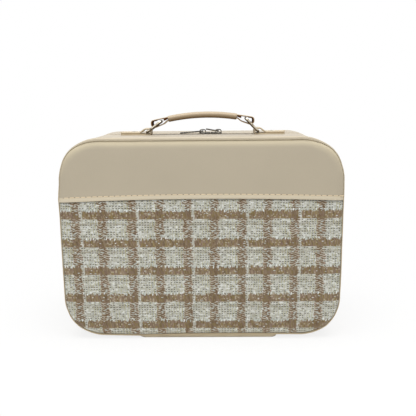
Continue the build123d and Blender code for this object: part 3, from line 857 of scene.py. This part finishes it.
# Brown bands: upright threads in mixed browns with a fringed upper edge, parted by the stripes' crossings.
fringe_column = floor((z * 0.22 + x) / 1.05)
fringe = chance(fringe_column, floor((z + 13.0) / band_pitch))
band = level.ramp(-4.7, -4.2) * (fringe * 3.0 + 2.9 - level).ramp(-0.3, 0.3)
crossing = near_line(x, 2 * stripe_pitch, first_stripe + 5.9, row_luck * 0.9 + 1.2, 0.6)
band = band * (crossing * -0.85 + 1.0)
banded = chance(fringe_column, floor(z / 4.6)).blend((104, 88, 68), (166, 148, 124))
banded = (fibre * 0.5).blend(banded, (120, 102, 76))
dye = chance(fringe_column, floor(z / 3.1))
banded = ((dye > 0.68) * 0.55).blend(banded, (142, 124, 76))
banded = ((dye < 0.32) * 0.55).blend(banded, (140, 118, 106))
banded = ((cell > 0.87) * (1.0 - stripe) * 0.7).blend(banded, (190, 180, 158))
banded = (stripe * 0.28).blend(banded, (112, 92, 66))

# Painted light and shade: the cloth is darker at its rim as painted shade, darker under the yoke's fold as a painted
# shadow, and lighter low down as painted light from below.
weave = band.blend(checked, banded)
for shade in ((deep * -1000.0).ramp(wall_end + 0.6, wall_end + 2.6, 0.8, 1.0), high.ramp(0.004, 0.016, 1.22, 1.0),
              (wide * wide * seam_bend + high).ramp(0.1532, 0.1550, 1.0, 0.6)):
    weave = shade.shading(weave)
round_row = reckon("SINE", in_row * math.pi) * (slub * 0.7 + 0.5)
round_column = reckon("SINE", in_column * math.pi) * (column_luck * 0.5 + 0.5)
height = add_node(tree, "ShaderNodeMix", {"Factor": band, "A": round_row, "B": round_column})
height = fibre * 0.35 + (shaded_gap * -0.5 + height)
skin(tree, weave, 0.92, (height, 0.55, 0.0006), {"Specular IOR Level": 0.2, "Sheen Weight": 0.15})

tweed = panel_sheet("tweed", 0.35, -1, tweed_weave)
cut_at_seam(tweed, False, [-9.0, -4.0, -2.0, -0.8, -0.1], [0.0, 0.0, -0.08, -0.3, -0.5])
attach(solid(tweed, 1.0), "root", "tweed", "front_tweed")


# Slubs: thick places of the white yarn that stand out of the tweed. They hang over the upper edge of each
# brown band, lie across the brown stripes, and puff up here and there in the white.
def slub_tree():
    """Geometry nodes: one soft grain of yarn on each point, turned along 'lie' with 'up' outwards."""
    tree, given = node_group("slub_scatter", "GeometryNodeTree",
                             {"Geometry": "Geometry", "Roundness": 1.0, "Material": "Material"},
                             {"Geometry": "Geometry"})
    grain = add_node(tree, "GeometryNodeMeshUVSphere", {"Segments": 6, "Rings": 4, "Radius": given["Roundness"]})
    grain = add_node(tree, "GeometryNodeTransform", {"Geometry": grain, "Rotation": (0, math.pi / 2, 0)})
    points = add_node(tree, "GeometryNodeMeshToPoints", {"Mesh": given["Geometry"]})
    spread = repeat(tree, points, grain, named(tree, "lie"), {"Scale": named(tree, "size")})
    add_node(tree, "NodeGroupOutput", {0: add_node(tree, "GeometryNodeSetMaterial",
                                                   {"Geometry": spread, "Material": given["Material"]})})
    return tree


on_tweed = seen_from_front(tweed)
luck = np.random.default_rng(11)
white_slubs, bright_slubs, brown_slubs = [], [], []


def add_slub(found, x, z, lie, length, wide, high):
    """Note one slub if the tweed lies there: its length runs along lie, an (x, z) direction."""
    hit, normal = on_tweed(x, z)
    if z > seam_height(x) - 1.2 or hit is None or -hit.y < wall_end + 2.0:
        return
    size = (length / 2000, wide / 2000, high / 2000)
    found.append((hit + normal * (0.25 * high), (lie[0], 0.0, lie[1]), normal, size))


bands = [first_band + k * band_pitch for k in range(5)]
for band_z in bands:
    for x in np.arange(-147.0, 148.0, 1.5):
        drawn_x = x + luck.uniform(-0.6, 0.6)
        away = min(abs(drawn_x - stripe_x) for stripe_x in stripe_places)
        if luck.random() < (0.5 if away > 4.2 else 0.16):
            long = luck.uniform(2.0, 4.0)
            found = bright_slubs if luck.random() < 0.35 else white_slubs
            add_slub(found, drawn_x, band_z + luck.uniform(4.0, 6.2), (0.2 + luck.uniform(-0.12, 0.12), 1.0), long,
                     luck.uniform(1.0, 1.7), 1.1)
        if luck.random() < 0.3:
            add_slub(brown_slubs, drawn_x + 0.5, band_z + luck.uniform(-3.4, 3.6),
                     (0.15 + luck.uniform(-0.2, 0.2), 1.0), luck.uniform(1.8, 3.4), luck.uniform(0.6, 0.9), 0.7)
for stripe_x in stripe_places:
    for z in np.arange(3.0, 158.0, 2.52):
        if min(abs(z - band_z) for band_z in bands) < 5.2:
            continue
        tilt = luck.choice((-1, 1)) * luck.uniform(0.12, 0.45)
        if luck.random() < 0.75:
            add_slub(white_slubs, stripe_x + luck.uniform(-2.6, 3.0), z + luck.uniform(-0.5, 0.5), (1.0, tilt),
                     luck.uniform(2.4, 4.4), luck.uniform(0.9, 1.3), 1.0)
        for _ in range(2):
            if luck.random() < 0.7:
                add_slub(brown_slubs, stripe_x + luck.uniform(-3.2, 3.2), z + 1.25 + luck.uniform(-0.6, 0.6),
                         (1.0, -tilt), luck.uniform(1.8, 3.4), luck.uniform(0.6, 0.9), 0.7)
for _ in range(520):
    add_slub(white_slubs if luck.random() < 0.75 else bright_slubs, luck.uniform(-146, 146), luck.uniform(4, 156),
             (1.0, luck.uniform(-0.2, 0.2)), luck.uniform(1.4, 3.0), luck.uniform(0.6, 1.0), 0.7)

slub_scatter = slub_tree()
for name, found, colour in (("slubs_white", white_slubs, (206, 210, 202)),
                            ("slubs_bright", bright_slubs, (240, 242, 238)),
                            ("slubs_brown", brown_slubs, (132, 106, 78))):
    points, lies, ups, sizes = zip(*found)
    yarn = matte(name, colour, roughness=0.9, speckle=0.16)
    attach(grow(name, guide_mesh(points, lie=lies, up=ups, size=sizes), slub_scatter, roundness=1.0, material=yarn),
           "root", "tweed")


# Rear panel: the back of the lid, one piece of the same leather over its own foam pad.
# It is glued down and turned in under the rear piping.
foam_pad(1, "lid", "rear")
rear_leather = solid(panel_sheet("rear_leather", 0.0, 1, case_cream), 1.35)
attach(rear_leather, "lid", "case_leather", "rear_cover")


# Handle strap: one closed band of leather that runs round the core of the grip and through both rings.
# Its outside and its painted edges are light tan; the flesh side in the loops is dark brown, its own colour darkened as
# painted shade.
handle_x, handle_y, handle_tilt = 1.9, -6.5, math.radians(1.5)
grip_half, grip_end_height, grip_rise = 38.3, 238.0, 3.4
strap_thick, strap_wide, core_thick = 1.3, 17.6, 2.1
arch_radius = (grip_half ** 2 + grip_rise ** 2) / (2 * grip_rise)
arch_centre = grip_end_height + grip_rise - arch_radius
arch_turn = math.asin(grip_half / arch_radius)
ply_offset = (core_thick + strap_thick) / 2


def on_arch(offset, turn):
    """Point of the grip's arch, turn to the right of its middle and offset outwards."""
    return (arch_radius + offset) * math.sin(turn), arch_centre + (arch_radius + offset) * math.cos(turn)


def stand_handle(x, y, z):
    """Place a point of the upright handle where the tilted handle stands."""
    low = z - grip_end_height
    return (handle_x + x * math.cos(handle_tilt) - low * math.sin(handle_tilt), handle_y + y,
            grip_end_height + x * math.sin(handle_tilt) + low * math.cos(handle_tilt))


def round_corners(points, radii, step=0.7):
    """Polyline with its inner corners rounded, as a list of (x, z)."""
    path = [points[0]]
    for before, corner, after, radius in zip(points, points[1:], points[2:], radii):
        towards, onwards = Vector(corner) - Vector(before), Vector(after) - Vector(corner)
        towards.normalize()
        onwards.normalize()
        bend = towards.angle_signed(onwards)
        start = Vector(corner) - towards * (radius * math.tan(abs(bend) / 2))
        centre = start + Vector((-towards.y, towards.x)) * (-radius if bend > 0 else radius)
        arm = start - centre
        count = max(3, int(abs(bend) * radius / step) + 2)
        for turn in (-bend * k / count for k in range(count + 1)):
            path.append((centre.x + arm.x * math.cos(turn) - arm.y * math.sin(turn),
                         centre.y + arm.x * math.sin(turn) + arm.y * math.cos(turn)))
    return path + [points[-1]]


def respace(path, step, closed=False):
    """Even points along a path, with the direction to its left at each: (x, z, nx, nz)."""
    line = np.array(path + path[:1] if closed else path, float)
    far = np.concatenate([[0], np.cumsum(np.linalg.norm(np.diff(line, axis=0), axis=1))])
    wanted = np.linspace(0, far[-1], max(4, int(far[-1] / step)), endpoint=not closed)
    x, z = np.interp(wanted, far, line[:, 0]), np.interp(wanted, far, line[:, 1])
    if closed:
        dx, dz = np.roll(x, -1) - np.roll(x, 1), np.roll(z, -1) - np.roll(z, 1)
    else:
        dx, dz = np.gradient(x), np.gradient(z)
    size = np.hypot(dx, dz)
    return list(zip(x, z, -dz / size, dx / size))


def ribbon(name, path, half_width, half_thick, stand, materials, closed=False, ends=0.0):
    """Strip of leather along a path of (x, z, nx, nz). Its right-hand face takes the second material."""
    lean = min(half_thick, 0.55)
    section = [(-half_width, lean - half_thick), (0.16 - half_width, 0.12 - half_thick),
               (lean - half_width, -half_thick)]
    section += [(w, -half_thick) for w in np.linspace(-half_width + 2.4, half_width - 2.4, 7)]
    section += [(-w, t) for w, t in reversed(section[:3])]
    section += [(-w, -t) for w, t in section]
    far = [0.0]
    for (x, z, _, _), (x2, z2, _, _) in zip(path, path[1:]):
        far.append(far[-1] + math.hypot(x2 - x, z2 - z))
    rows = []
    for (x, z, nx, nz), gone in zip(path, far):
        share = 1.0
        if ends:
            near = min(gone, far[-1] - gone)
            share = 1 - (ends / half_width) * (1 - math.sqrt(max(0.0, 1 - max(0.0, 1 - near / ends) ** 2)))
        rows.append([stand(x + nx * t, w * share, z + nz * t) for w, t in section])
    strip = add_grid(name, rows, materials[0], wrap_rows=closed, caps=not closed)
    if len(materials) > 1:
        strip.data.materials.append(materials[1])
        for face in strip.data.polygons:
            heights = [abs(section[index % len(section)][1] + half_thick) for index in face.vertices]
            if len(heights) == 4 and max(heights) < 1.2 * lean:
                face.material_index = 1
    return outward(strip)


def tan_leather(name, light, dark, roughness=0.45, wear=0.35, gloss=0.4):
    """Smooth vegetable-tanned leather with a worn, uneven tone."""
    material, tree = new_material(name)
    worn = clouds(tree, 90.0, 5.0, low=0.4, high=0.75)["Share"] * wear
    leather(tree, worn.blend(light, dark), (0.7, 0.7, 0.15), 0.07, roughness, gloss)
    return material


strap_tan = tan_leather("strap_leather", (192, 170, 134), (150, 120, 82))
strap_flesh_and_shade = tan_leather("strap_flesh_side", (88, 54, 30), (58, 34, 18), roughness=0.95, gloss=0.08)
slope = math.tan(arch_turn)
(upper_x, upper_z), (lower_x, lower_z) = on_arch(ply_offset, arch_turn), on_arch(-ply_offset, arch_turn)
loop_reach = 57.0


def ply_height(x):
    """Height of the middle of the upper ply beyond the grip."""
    return upper_z - slope * (x - upper_x)


loop = round_corners([(upper_x, upper_z), (loop_reach, ply_height(loop_reach)), (loop_reach, upper_z - 8.5),
                      (loop_reach - 3.6, upper_z - 10.9), (lower_x + 5.0, lower_z - 3.5),
                      (lower_x + strap_thick, lower_z - slope * strap_thick), (lower_x, lower_z)],
                     [2.4, 2.2, 2.6, 6.0, 1.0])
upper_ply = [on_arch(ply_offset, turn) for turn in np.linspace(-arch_turn, arch_turn, 40)]
lower_ply = [on_arch(-ply_offset, turn) for turn in np.linspace(arch_turn, -arch_turn, 40)]
circuit = upper_ply + loop[1:] + lower_ply[1:] + [(-x, z) for x, z in reversed(loop)][1:-1]
strap = ribbon("strap", respace(circuit, 0.8, closed=True), strap_wide / 2, strap_thick / 2, stand_handle,
               (strap_tan, strap_flesh_and_shade), closed=True)
# Beyond the grip, the lower half of the upper ply's edges takes the dark brown too, as painted shade under the ply.
for face in strap.data.polygons:
    x, y, z = face.center * 1000
    away = abs(x - handle_x)
    above = z - stand_handle(x - handle_x, 0.0, ply_height(away))[2]
    if grip_half < away < loop_reach - 1.5 and abs(face.normal.y) > 0.5 and -strap_thick < above < 0.25:
        face.material_index = 1
attach(strap, "handle", "handle_leather", "handle_strap")

# Painted shade in the loops: dark brown pieces, a wedge under the upper ply beside the grip and a thin strip inside
# each tip.
tip_shade_thick, tip_start, edge = 0.6, 51.6, strap_wide / 2 - 0.1
under = strap_thick / 2 + tip_shade_thick / 2 - 0.02
for side, name in ((-1, "strap_lining_left"), (1, "strap_lining_right")):
    rows = []
    for share in np.linspace(0.0, 1.0, 9):
        x = grip_half + 0.4 + 4.5 * share
        top = ply_height(x) - strap_thick / 2 + 0.02
        low = top - (1.4 + 0.9 * share) * math.sqrt(max(0.3, 1 - max(0.0, 8 * share - 7) ** 2))
        rows.append([stand_handle(side * x, w, z) for w, z in (
            (-edge, top), (0.0, top), (edge, top), (edge, low), (0.0, low), (-edge, low))])
    attach(outward(add_grid(name, rows, strap_flesh_and_shade, caps=True)), "handle", "handle_leather")
    path = [(tip_start, ply_height(tip_start) - under), (loop_reach - under, ply_height(loop_reach) - under + 0.2),
            (loop_reach - under, upper_z - 8.3), (loop_reach - 3.9, upper_z - 10.9 + under),
            (tip_start + 0.6, upper_z - 10.2 + under)]
    path = respace([(side * x, z) for x, z in round_corners(path, [1.8, 1.7, 1.6])], 0.8)
    attach(ribbon(name + "_tip", path, edge, tip_shade_thick / 2, stand_handle, (strap_flesh_and_shade,)),
           "handle", "handle_leather")


# Handle core: a stiff fibre strip between the two plies of the strap. The boards of the case are the
# same pressed fibre, cut to shape and bent.
def paint(material, *nodes):
    """Give CAD nodes their material."""
    for node in nodes:
        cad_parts[node].data.materials.clear()
        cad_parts[node].data.materials.append(material)


fibre_board, tree = new_material("fibre_board")
flakes = clouds(tree, 420.0, 6.0)
skin(tree, flakes.blend((120, 104, 80), (176, 160, 132)), 0.85, (flakes, 0.3, 0.0003))
paint(fibre_board, "handle_core", "front_board", "rear_board", "body_gusset_board", "lid_gusset_board")


# Handle grip: padded leather rolled round the strap and closed underneath; its lower side is painted darker, as painted
# shade.
# Its ends are cut square and show the raw brown edge.
grip_tan, tree = new_material("grip_leather")
height, raw, _ = parts(add_node(tree, "ShaderNodeAttribute", attribute_name="around")["Vector"])
# Painted shade: the lower side of the grip turns dark brown.
lower = height.ramp(-0.8, 0.6, 1.0, 0.0, interpolation_type="SMOOTHSTEP")
tint = (raw > 0.5).blend(lower.blend((190, 172, 144), (118, 92, 60)), (92, 64, 40))
leather(tree, tint, (0.8, 0.6, 0.15), 0.07, 0.45, 0.4)

cavity_thick, cavity_wide, cavity_square = core_thick / 2 + strap_thick, strap_wide / 2, 9.0
grip_thick, grip_wide, grip_square = cavity_thick + 0.9, 10.0, 2.8
rows, marks = [], []


def rounded(angle, half_wide, half_thick, wide_power, thick_power):
    """Point of a rounded rectangle's outline at an angle."""
    w, t = math.cos(angle), math.sin(angle)
    return (math.copysign(abs(w) ** wide_power, w) * half_wide, math.copysign(abs(t) ** thick_power, t) * half_thick)


for inside in (False, True):
    thick, wide, square = ((cavity_thick, cavity_wide, cavity_square) if inside
                           else (grip_thick, grip_wide, grip_square))
    for turn in np.linspace(-1, 1, 72)[::-1 if inside else 1]:
        plump = 1.0 if inside else 0.93 + 0.07 * min(1.0, (1 - abs(turn)) / 0.04) ** 0.5
        row = []
        for angle in np.linspace(0, 2 * math.pi, 36, endpoint=False):
            w, t = rounded(angle, wide * plump, thick * plump, 2 / square, 2 / square)
            if not inside:
                t = (t if t > 0 else 1.14 * t) + 0.25 * math.exp(-((angle - 1.5 * math.pi) / 0.07) ** 2)
            x, z = on_arch(t, turn * arch_turn)
            row.append(stand_handle(x, w, z))
            marks += [math.sin(angle), float(inside), 0.0]
        rows.append(row)
grip = add_grid("grip", rows, grip_tan, wrap_rows=True)
grip.data.attributes.new("around", "FLOAT_VECTOR", "POINT").data.foreach_set("vector", marks)
attach(outward(grip), "handle", "handle_leather", "handle_wrap")


# Ring tabs: two strips of the cream leather, each folded round the lower bar of a ring, glued to
# itself, stitched and riveted to the top of the case. Their cut edges are bare.
tab_half, tab_thick, nose, tab_end = strap_wide / 2, 1.6, 58.0, 91.5
tab_cream = tan_leather("tab_leather", (204, 190, 164), (192, 176, 148), roughness=0.5, wear=0.3)
tab_under = tan_leather("tab_flesh_side", (196, 178, 146), (172, 150, 116), roughness=0.7)
low, high = shell_high + tab_thick / 2, shell_high + 7.4 - tab_thick / 2
merge = low + tab_thick + 0.1
folded = round_corners([(tab_end, low), (nose, low), (nose, high), (64.6, high), (70.3, merge), (tab_end, merge)],
                       [1.2, 2.4, 2.2, 4.0])
for side, name in ((-1, "tab_left"), (1, "tab_right")):
    placed = [(handle_x + side * x, z) for x, z in folded][::side]
    fold = ribbon(name + "_leather", respace(placed, 0.6), tab_half, tab_thick / 2,
                  lambda x, w, z: (x, handle_y + w, z), (tab_cream, tab_under), ends=2.0)
    attach(fold, "root", "handle_leather", name)
    for row_w, place_name in ((2.0 - tab_half, "front"), (tab_half - 2.0, "rear")):
        points = [(handle_x + side * x, handle_y + row_w, merge + tab_thick / 2 + 0.12)
                  for x in np.linspace(73.0, 89.5, 12)]
        attach(stitches(f"{name}_stitches_{place_name}", points, [(0, 0, 1)] * 12, pitch=0.0033, length=0.0026),
               "root", "handle_leather")


# Metal: the wire rings, rivets and washers, zip sliders and pulls, and the mirror frame are nickel-plated,
# a little tarnished and finely scratched. Their undersides are painted darker, as painted shade.
def tarnish_and_shade_group():
    """Shared effect: tarnished clouds on plated metal, painted shade on its underside, and fine scratches."""
    tree, given = node_group("tarnish", "ShaderNodeTree", {"Low": 0.4, "High": 0.6},
                             {"Tarnish": "Float", "Underside": "Float", "Cloud": "Float", "Scratches": "Float"})
    cloud = clouds(tree, 420.0, 4.0, low=given["Low"], high=given["High"])
    underside_shade = parts(place(tree, "Normal"))[2].ramp(0.25, -0.3)
    add_node(tree, "NodeGroupOutput", {"Tarnish": cloud["Share"] * 0.7, "Underside": underside_shade * 0.85,
                                       "Cloud": cloud, "Scratches": clouds(tree, 2600.0, 2.0)})
    return tree


tarnish = tarnish_and_shade_group()


def plated_metal(name, bright, dull, roughness, low, high):
    """Worn plated metal, darker underneath as painted shade; its tarnished patches spread between two levels of its
    cloud.
    """
    material, tree = new_material(name)
    worn = add_node(tree, "ShaderNodeGroup", {"Low": low, "High": high}, node_tree=tarnish)
    tone = worn["Underside"].blend(worn["Tarnish"].blend(bright, dull), dull)
    rough = worn["Cloud"].ramp(0.0, 1.0, roughness - 0.07, roughness + 0.15)
    skin(tree, tone, rough, (worn["Scratches"], 0.06, 0.0001), {"Metallic": 1.0})
    return material


paint(plated_metal("nickel", (216, 206, 186), (74, 58, 40), 0.22, 0.48, 0.64),
      "ring_left", "ring_right", "tab_rivets", "tab_washers", "mirror_frame")
paint(plated_metal("slider_metal", (168, 162, 150), (26, 22, 17), 0.24, 0.37, 0.51),
      "slider_left", "slider_right", "pull_left", "pull_right")


# Zip: woven cotton tape sewn under the turned edges of the walls, with a row of moulded teeth clamped on
# each edge. It stops at the hinge patch.
tape_weave, tree = new_material("zip_tape")
along, across, _ = parts(place(tree, "UV"))
along, across = along * 1000.0, across * 1000.0
# The tape is darkened as painted shade of the recess between the walls, and darker still in the low places of its
# weave, as painted shade.
height = reckon("SINE", across * 12.5) * 0.5 + reckon("SINE", (along + pingpong(across, 2.4)) * 6.9)
skin(tree, height.ramp(-1.5, 1.5).blend((122, 110, 92), (164, 152, 132)), 0.9, (height, 0.5, 0.0002))
tooth_white = matte("zip_teeth", (176, 166, 148), roughness=0.4)


def tooth_run_tree():
    """Geometry nodes: rounded zip teeth along a guide line, each lying across it."""
    tree, given = node_group("tooth_run", "GeometryNodeTree",
                             {"Geometry": "Geometry", "Pitch": 0.0017, "Wide": 0.0011, "Reach": 0.0024,
                              "Thick": 0.0021, "Material": "Material"}, {"Geometry": "Geometry"})
    size = add_node(tree, "ShaderNodeCombineXYZ", {"X": given["Wide"], "Y": given["Reach"], "Z": given["Thick"]})
    block = add_node(tree, "GeometryNodeMeshCube", {"Size": size, "Vertices X": 2, "Vertices Y": 3})
    tooth = add_node(tree, "GeometryNodeSubdivisionSurface", {"Mesh": block, "Level": 1, "Edge Crease": 0.45})
    run = add_node(tree, "GeometryNodeSetMaterial",
                   {"Geometry": repeat_along(tree, given, tooth), "Material": given["Material"]})
    add_node(tree, "NodeGroupOutput", {0: run})
    return tree


tooth_run = tooth_run_tree()
tape_right, tape_left, tape_face, tape_back = 74.3, -60.7, 1.04, 1.56
for side, body, half, cad in halves:
    inner, outer = zip_y + side * 3.0, zip_y + side * tape_edge
    steps = (inner, (inner + outer) / 2, outer)
    profile = [(tape_face, y) for y in steps] + [(tape_back, y) for y in steps[::-1]]
    tape = rim_sweep(cad + "_tape", profile, tape_weave, start=tape_right, end=tape_left)
    attach(tape, body, "zip_tape", cad + "_zip_tape")
    stations = rim_stations(tape_right, tape_left, 2.0)
    guide = guide_line([(x - 1.3 * nx, zip_y + side * 1.8, z - 1.3 * nz) for x, z, nx, nz in stations],
                       [(nx, 0.0, nz) for _, _, nx, nz in stations])
    teeth = grow(cad + "_teeth", guide, tooth_run, pitch=0.0017, wide=0.0011, reach=0.0024, thick=0.0021,
                 material=tooth_white)
    attach(teeth, body, "zip_chain", cad + "_zip_teeth")


# Hinge patch: one thick leather patch glued under both halves, its edges rubbed. Its lowest edge is painted dark brown
# as a painted contact shadow. It is the hinge, with closer rows where the halves meet. A low rib on it fills the gap
# between the two walls.
patch_thick, patch_reach, rib_rise, edge_hollow = 4.0, 62.1, 0.9, 0.3
patch_tan = tan_leather("patch_leather", (214, 200, 172), (206, 187, 153), roughness=0.55)
border_rows = (0.0, 0.3, 0.9, 1.8, 3.0, 4.4, 6.0, 9.0)
patch_rows = [-patch_reach + k for k in border_rows]
patch_rows += [*np.arange(-50.0, 0.0, 5.0), *np.arange(0.0, 21.0, 1.0), *np.arange(24.0, 52.0, 5.0)]
patch_rows += [patch_reach - k for k in border_rows[::-1]]
patch = ribbon("hinge_patch", [(y, patch_thick / 2, 0.0, 1.0) for y in patch_rows], patch_half, patch_thick / 2 - 0.03,
               lambda y, w, z: (patch_middle + w, y, z), (patch_tan,), ends=6.0)
for vert in patch.data.vertices:
    x, y, z = vert.co * 1000
    from_side = patch_half - abs(x - patch_middle)
    if z > patch_thick - 0.1 and from_side > 10:
        vert.co.z += rib_rise / 1000 * min(1.0, max(0.0, (6.5 - abs(y - zip_y)) / 1.2 + 1))
    if patch_thick / 2 < z < patch_thick - 0.5 and from_side < 0.3:
        vert.co.x -= math.copysign(edge_hollow / 1000, x - patch_middle)
patch.data.materials.append(matte("patch_edge_paint", (108, 84, 58), roughness=0.45))
# Its lowest edge takes a dark brown: a painted contact shadow.
for face in patch.data.polygons:
    if face.center.z < 0.0007 and face.normal.z > -0.9:
        face.material_index = 1
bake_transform(patch)
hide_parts("hinge_patch_body", "hinge_patch_lid")
seam_in = 4.0
for side, body, half, cad in halves:
    left, right = patch_middle - patch_half + seam_in, patch_middle + patch_half - seam_in
    near, far = zip_y + side * 9, side * (patch_reach - seam_in)
    border = [(left, near), (left, far), (right, far), (right, near)]
    points = [(x, y, -0.02) for x, y in round_corners(border, [4.0, 4.0])]
    row = stitches(f"patch_stitches_{body}", points, [(0, 0, -1)] * len(points))
    for vert in row.data.vertices:
        vert.co.z = max(vert.co.z, 0.00002)
    attach(row, body, "case_leather")


# Linings: plain beige cotton, glued to the boards of both halves with a little slack in it.
# The lining of each wall ends in a small turned lip beside the zip.
lining_cotton, tree = new_material("lining_cotton")
x, y, z = parts(place(tree))
weave = reckon("SINE", (x + y) * 9800.0) * reckon("SINE", (z + y * 0.5) * 9800.0)
tone = clouds(tree, 40.0, 5.0).blend((178, 158, 128), (204, 188, 160))
skin(tree, (weave * 0.14 + 0.14).blend(tone, (150, 130, 102)), 0.93, (weave, 0.35, 0.0002), {"Sheen Weight": 0.1})
board_depth, lining_depth, play = 3.4, 0.6, 0.04
panel_back = wall_end - 2.0


def slack(scale, amount, seed):
    """Loose places of a glued lining: it only ever lifts inwards."""
    return lambda x, y, z: -amount * max(0.0, ripple(x + scale * seed, y, z, scale))


for side, body, half, cad in halves:
    name = cad + "_lining"
    lip, deep = zip_y + side * 4.0, side * panel_back
    face, back = board_depth + lining_depth - play, board_depth + play
    profile = [(back, lip), (back, deep), (face, deep)]
    profile += [(face, y) for y in np.linspace(deep, lip, 7)[1:-1]]
    profile += [(face, lip + side * 0.2), (board_depth + 0.3, lip)]
    wall_cloth = rim_sweep(name + "_wall_cloth", profile, lining_cotton, stir=slack(30.0, 0.35, side * 3.0))
    attach(wall_cloth, body, "lining", name + "_wall")

    rings = [[(x - inset * nx, z - inset * nz) for x, z, nx, nz in rim_stations(step=6.0)]
             for inset in (4.1, 6.0, 9.0, 14.0, 20.0, 27.0, 34.0)]
    rings += [[towards_middle(x, z, share) for x, z in rings[-1]] for share in np.linspace(0, 1, 9)[1:]]
    loose = slack(45.0, 0.4, side * 9.0)
    points = []
    for k, ring in enumerate(rings):
        for x, z in ring:
            off = 0.03 - (loose(x, 0.0, z) if k > 1 else 0.0)
            points.append((x, side * (panel_back - off - lining_depth + 0.06), z))
    cloth = join_points(add_piece(name + "_panel_cloth", points, quads(len(rings), len(rings[0]), flip=side < 0),
                                  lining_cotton))
    attach(solid(cloth, lining_depth - 0.1), body, "lining",
           "front_lining_panel" if side < 0 else "lid_lining_panel")


# Dividers: stiff strips padded with foam and covered with the lining cotton. One crosses the front half,
# the others part the spaces above and below it.
divider_y, divider_half, divider_thick = (-59.6 - 2.0) / 2, (59.6 - 2.0) / 2, 2.5


def cushion_bar(name, node, stand, start, end):
    """Soft flat bar that stand(along, wide, thick) puts in its place."""
    rows = []
    for along in np.linspace(start, end, max(12, int((end - start) / 4))):
        squeeze = 0.82 + 0.18 * min(1.0, min(along - start, end - along) / 3.0) ** 0.5
        row = []
        for angle in np.linspace(0, 2 * math.pi, 44, endpoint=False):
            w, t = rounded(angle, divider_half - 0.05, (divider_thick - 0.05) * squeeze, 0.18, 0.42)
            t *= 0.95 + 0.05 * ripple(along / 14, w / 14, divider_half)
            row.append(stand(along, w, t))
        rows.append(row)
    bar = outward(add_grid(name, rows, lining_cotton, caps=True))
    attach(bar, "root", "lining", node)


cushion_bar("divider_long_cover", "divider_long", lambda a, w, t: (a, divider_y + w, 106.0 + t), -145.1, 145.1)
cushion_bar("divider_upper_cover", "divider_upper", lambda a, w, t: (44.5 + t, divider_y + w, a), 108.9, 215.0)
cushion_bar("divider_lower_cover", "divider_lower", lambda a, w, t: (-47.5 + t, divider_y + w, a), 8.4, 103.1)


# Mirror: silvered glass with rounded corners, held to the lid by a plated frame.
# The silver has a few foxed spots.
silvered, tree = new_material("silvered_glass")
foxing = clouds(tree, 70.0, 6.0, low=0.68, high=0.76)
skin(tree, foxing["Share"].blend((236, 238, 236), (190, 180, 160)), foxing["Cloud"].ramp(0.3, 0.8, 0.02, 0.08),
     more={"Metallic": 1.0, "Coat Weight": 0.4, "Coat Roughness": 0.03})
paint(silvered, "mirror_glass")


# Lid pocket: a gathered cotton pocket low in the lid. Its mouth is bound with a strip of the tan leather.
# The cloth is drawn up in folds about 9.5 mm apart.
inner_right = sorted([(z - 4.4 * nz, x - 4.4 * nx) for x, z, nx, nz in rim_stations(step=2.0) if nx > 0.02])
glue_y, pocket_low, pocket_high, binding_z, fold_pitch = 59.9, 14.0, 72.0, 69.0, 9.5


def half_room(z):
    """Half of the lid's inner width at height z."""
    return float(np.interp(z, *zip(*inner_right)))


def gather(x, up):
    """Depth of the pocket's folds, up from 0 at its foot to 1 at its mouth."""
    drift = 5.0 * ripple(x / 40, 0.0, 2.0)
    wave = math.sin(2 * math.pi * (x + drift) / fold_pitch) + 0.4 * math.sin(2 * math.pi * (x + 2 * drift) / 5.3 + 1.0)
    return 0.42 * wave * (0.35 + 0.65 * up) + 0.12 * ripple(x / 12, up * 4, 7.0)


rows = []
for z in np.linspace(pocket_low + 0.1, pocket_high - 1.0, 16):
    up_share = (z - pocket_low) / (pocket_high - pocket_low)
    rows.append([(x, glue_y - 1.0 + gather(x, up_share), z) for x in np.linspace(-half_room(z), half_room(z), 260)])
pocket = outward(solid(add_grid("pocket_cloth", rows, lining_cotton, wrap_points=False), 0.45))
attach(pocket, "lid", "lining", "lid_pocket")

section = [(-2.9, -0.3), (-2.7, -0.42), (0, -0.45), (2.7, -0.42), (2.9, -0.3), (2.95, 0.0)]
section += [(-w, -t) for w, t in section]
rows = []
for x in np.linspace(-half_room(binding_z) + 0.1, half_room(binding_z) - 0.1, 200):
    wavy = glue_y - 2.5 + 0.12 * math.sin(2 * math.pi * x / fold_pitch)
    rows.append([(x, wavy + t, binding_z + w) for w, t in section])
attach(outward(add_grid("pocket_edge", rows, strap_tan, caps=True)), "lid", "case_leather", "pocket_binding")


bpy.context.view_layer.update()
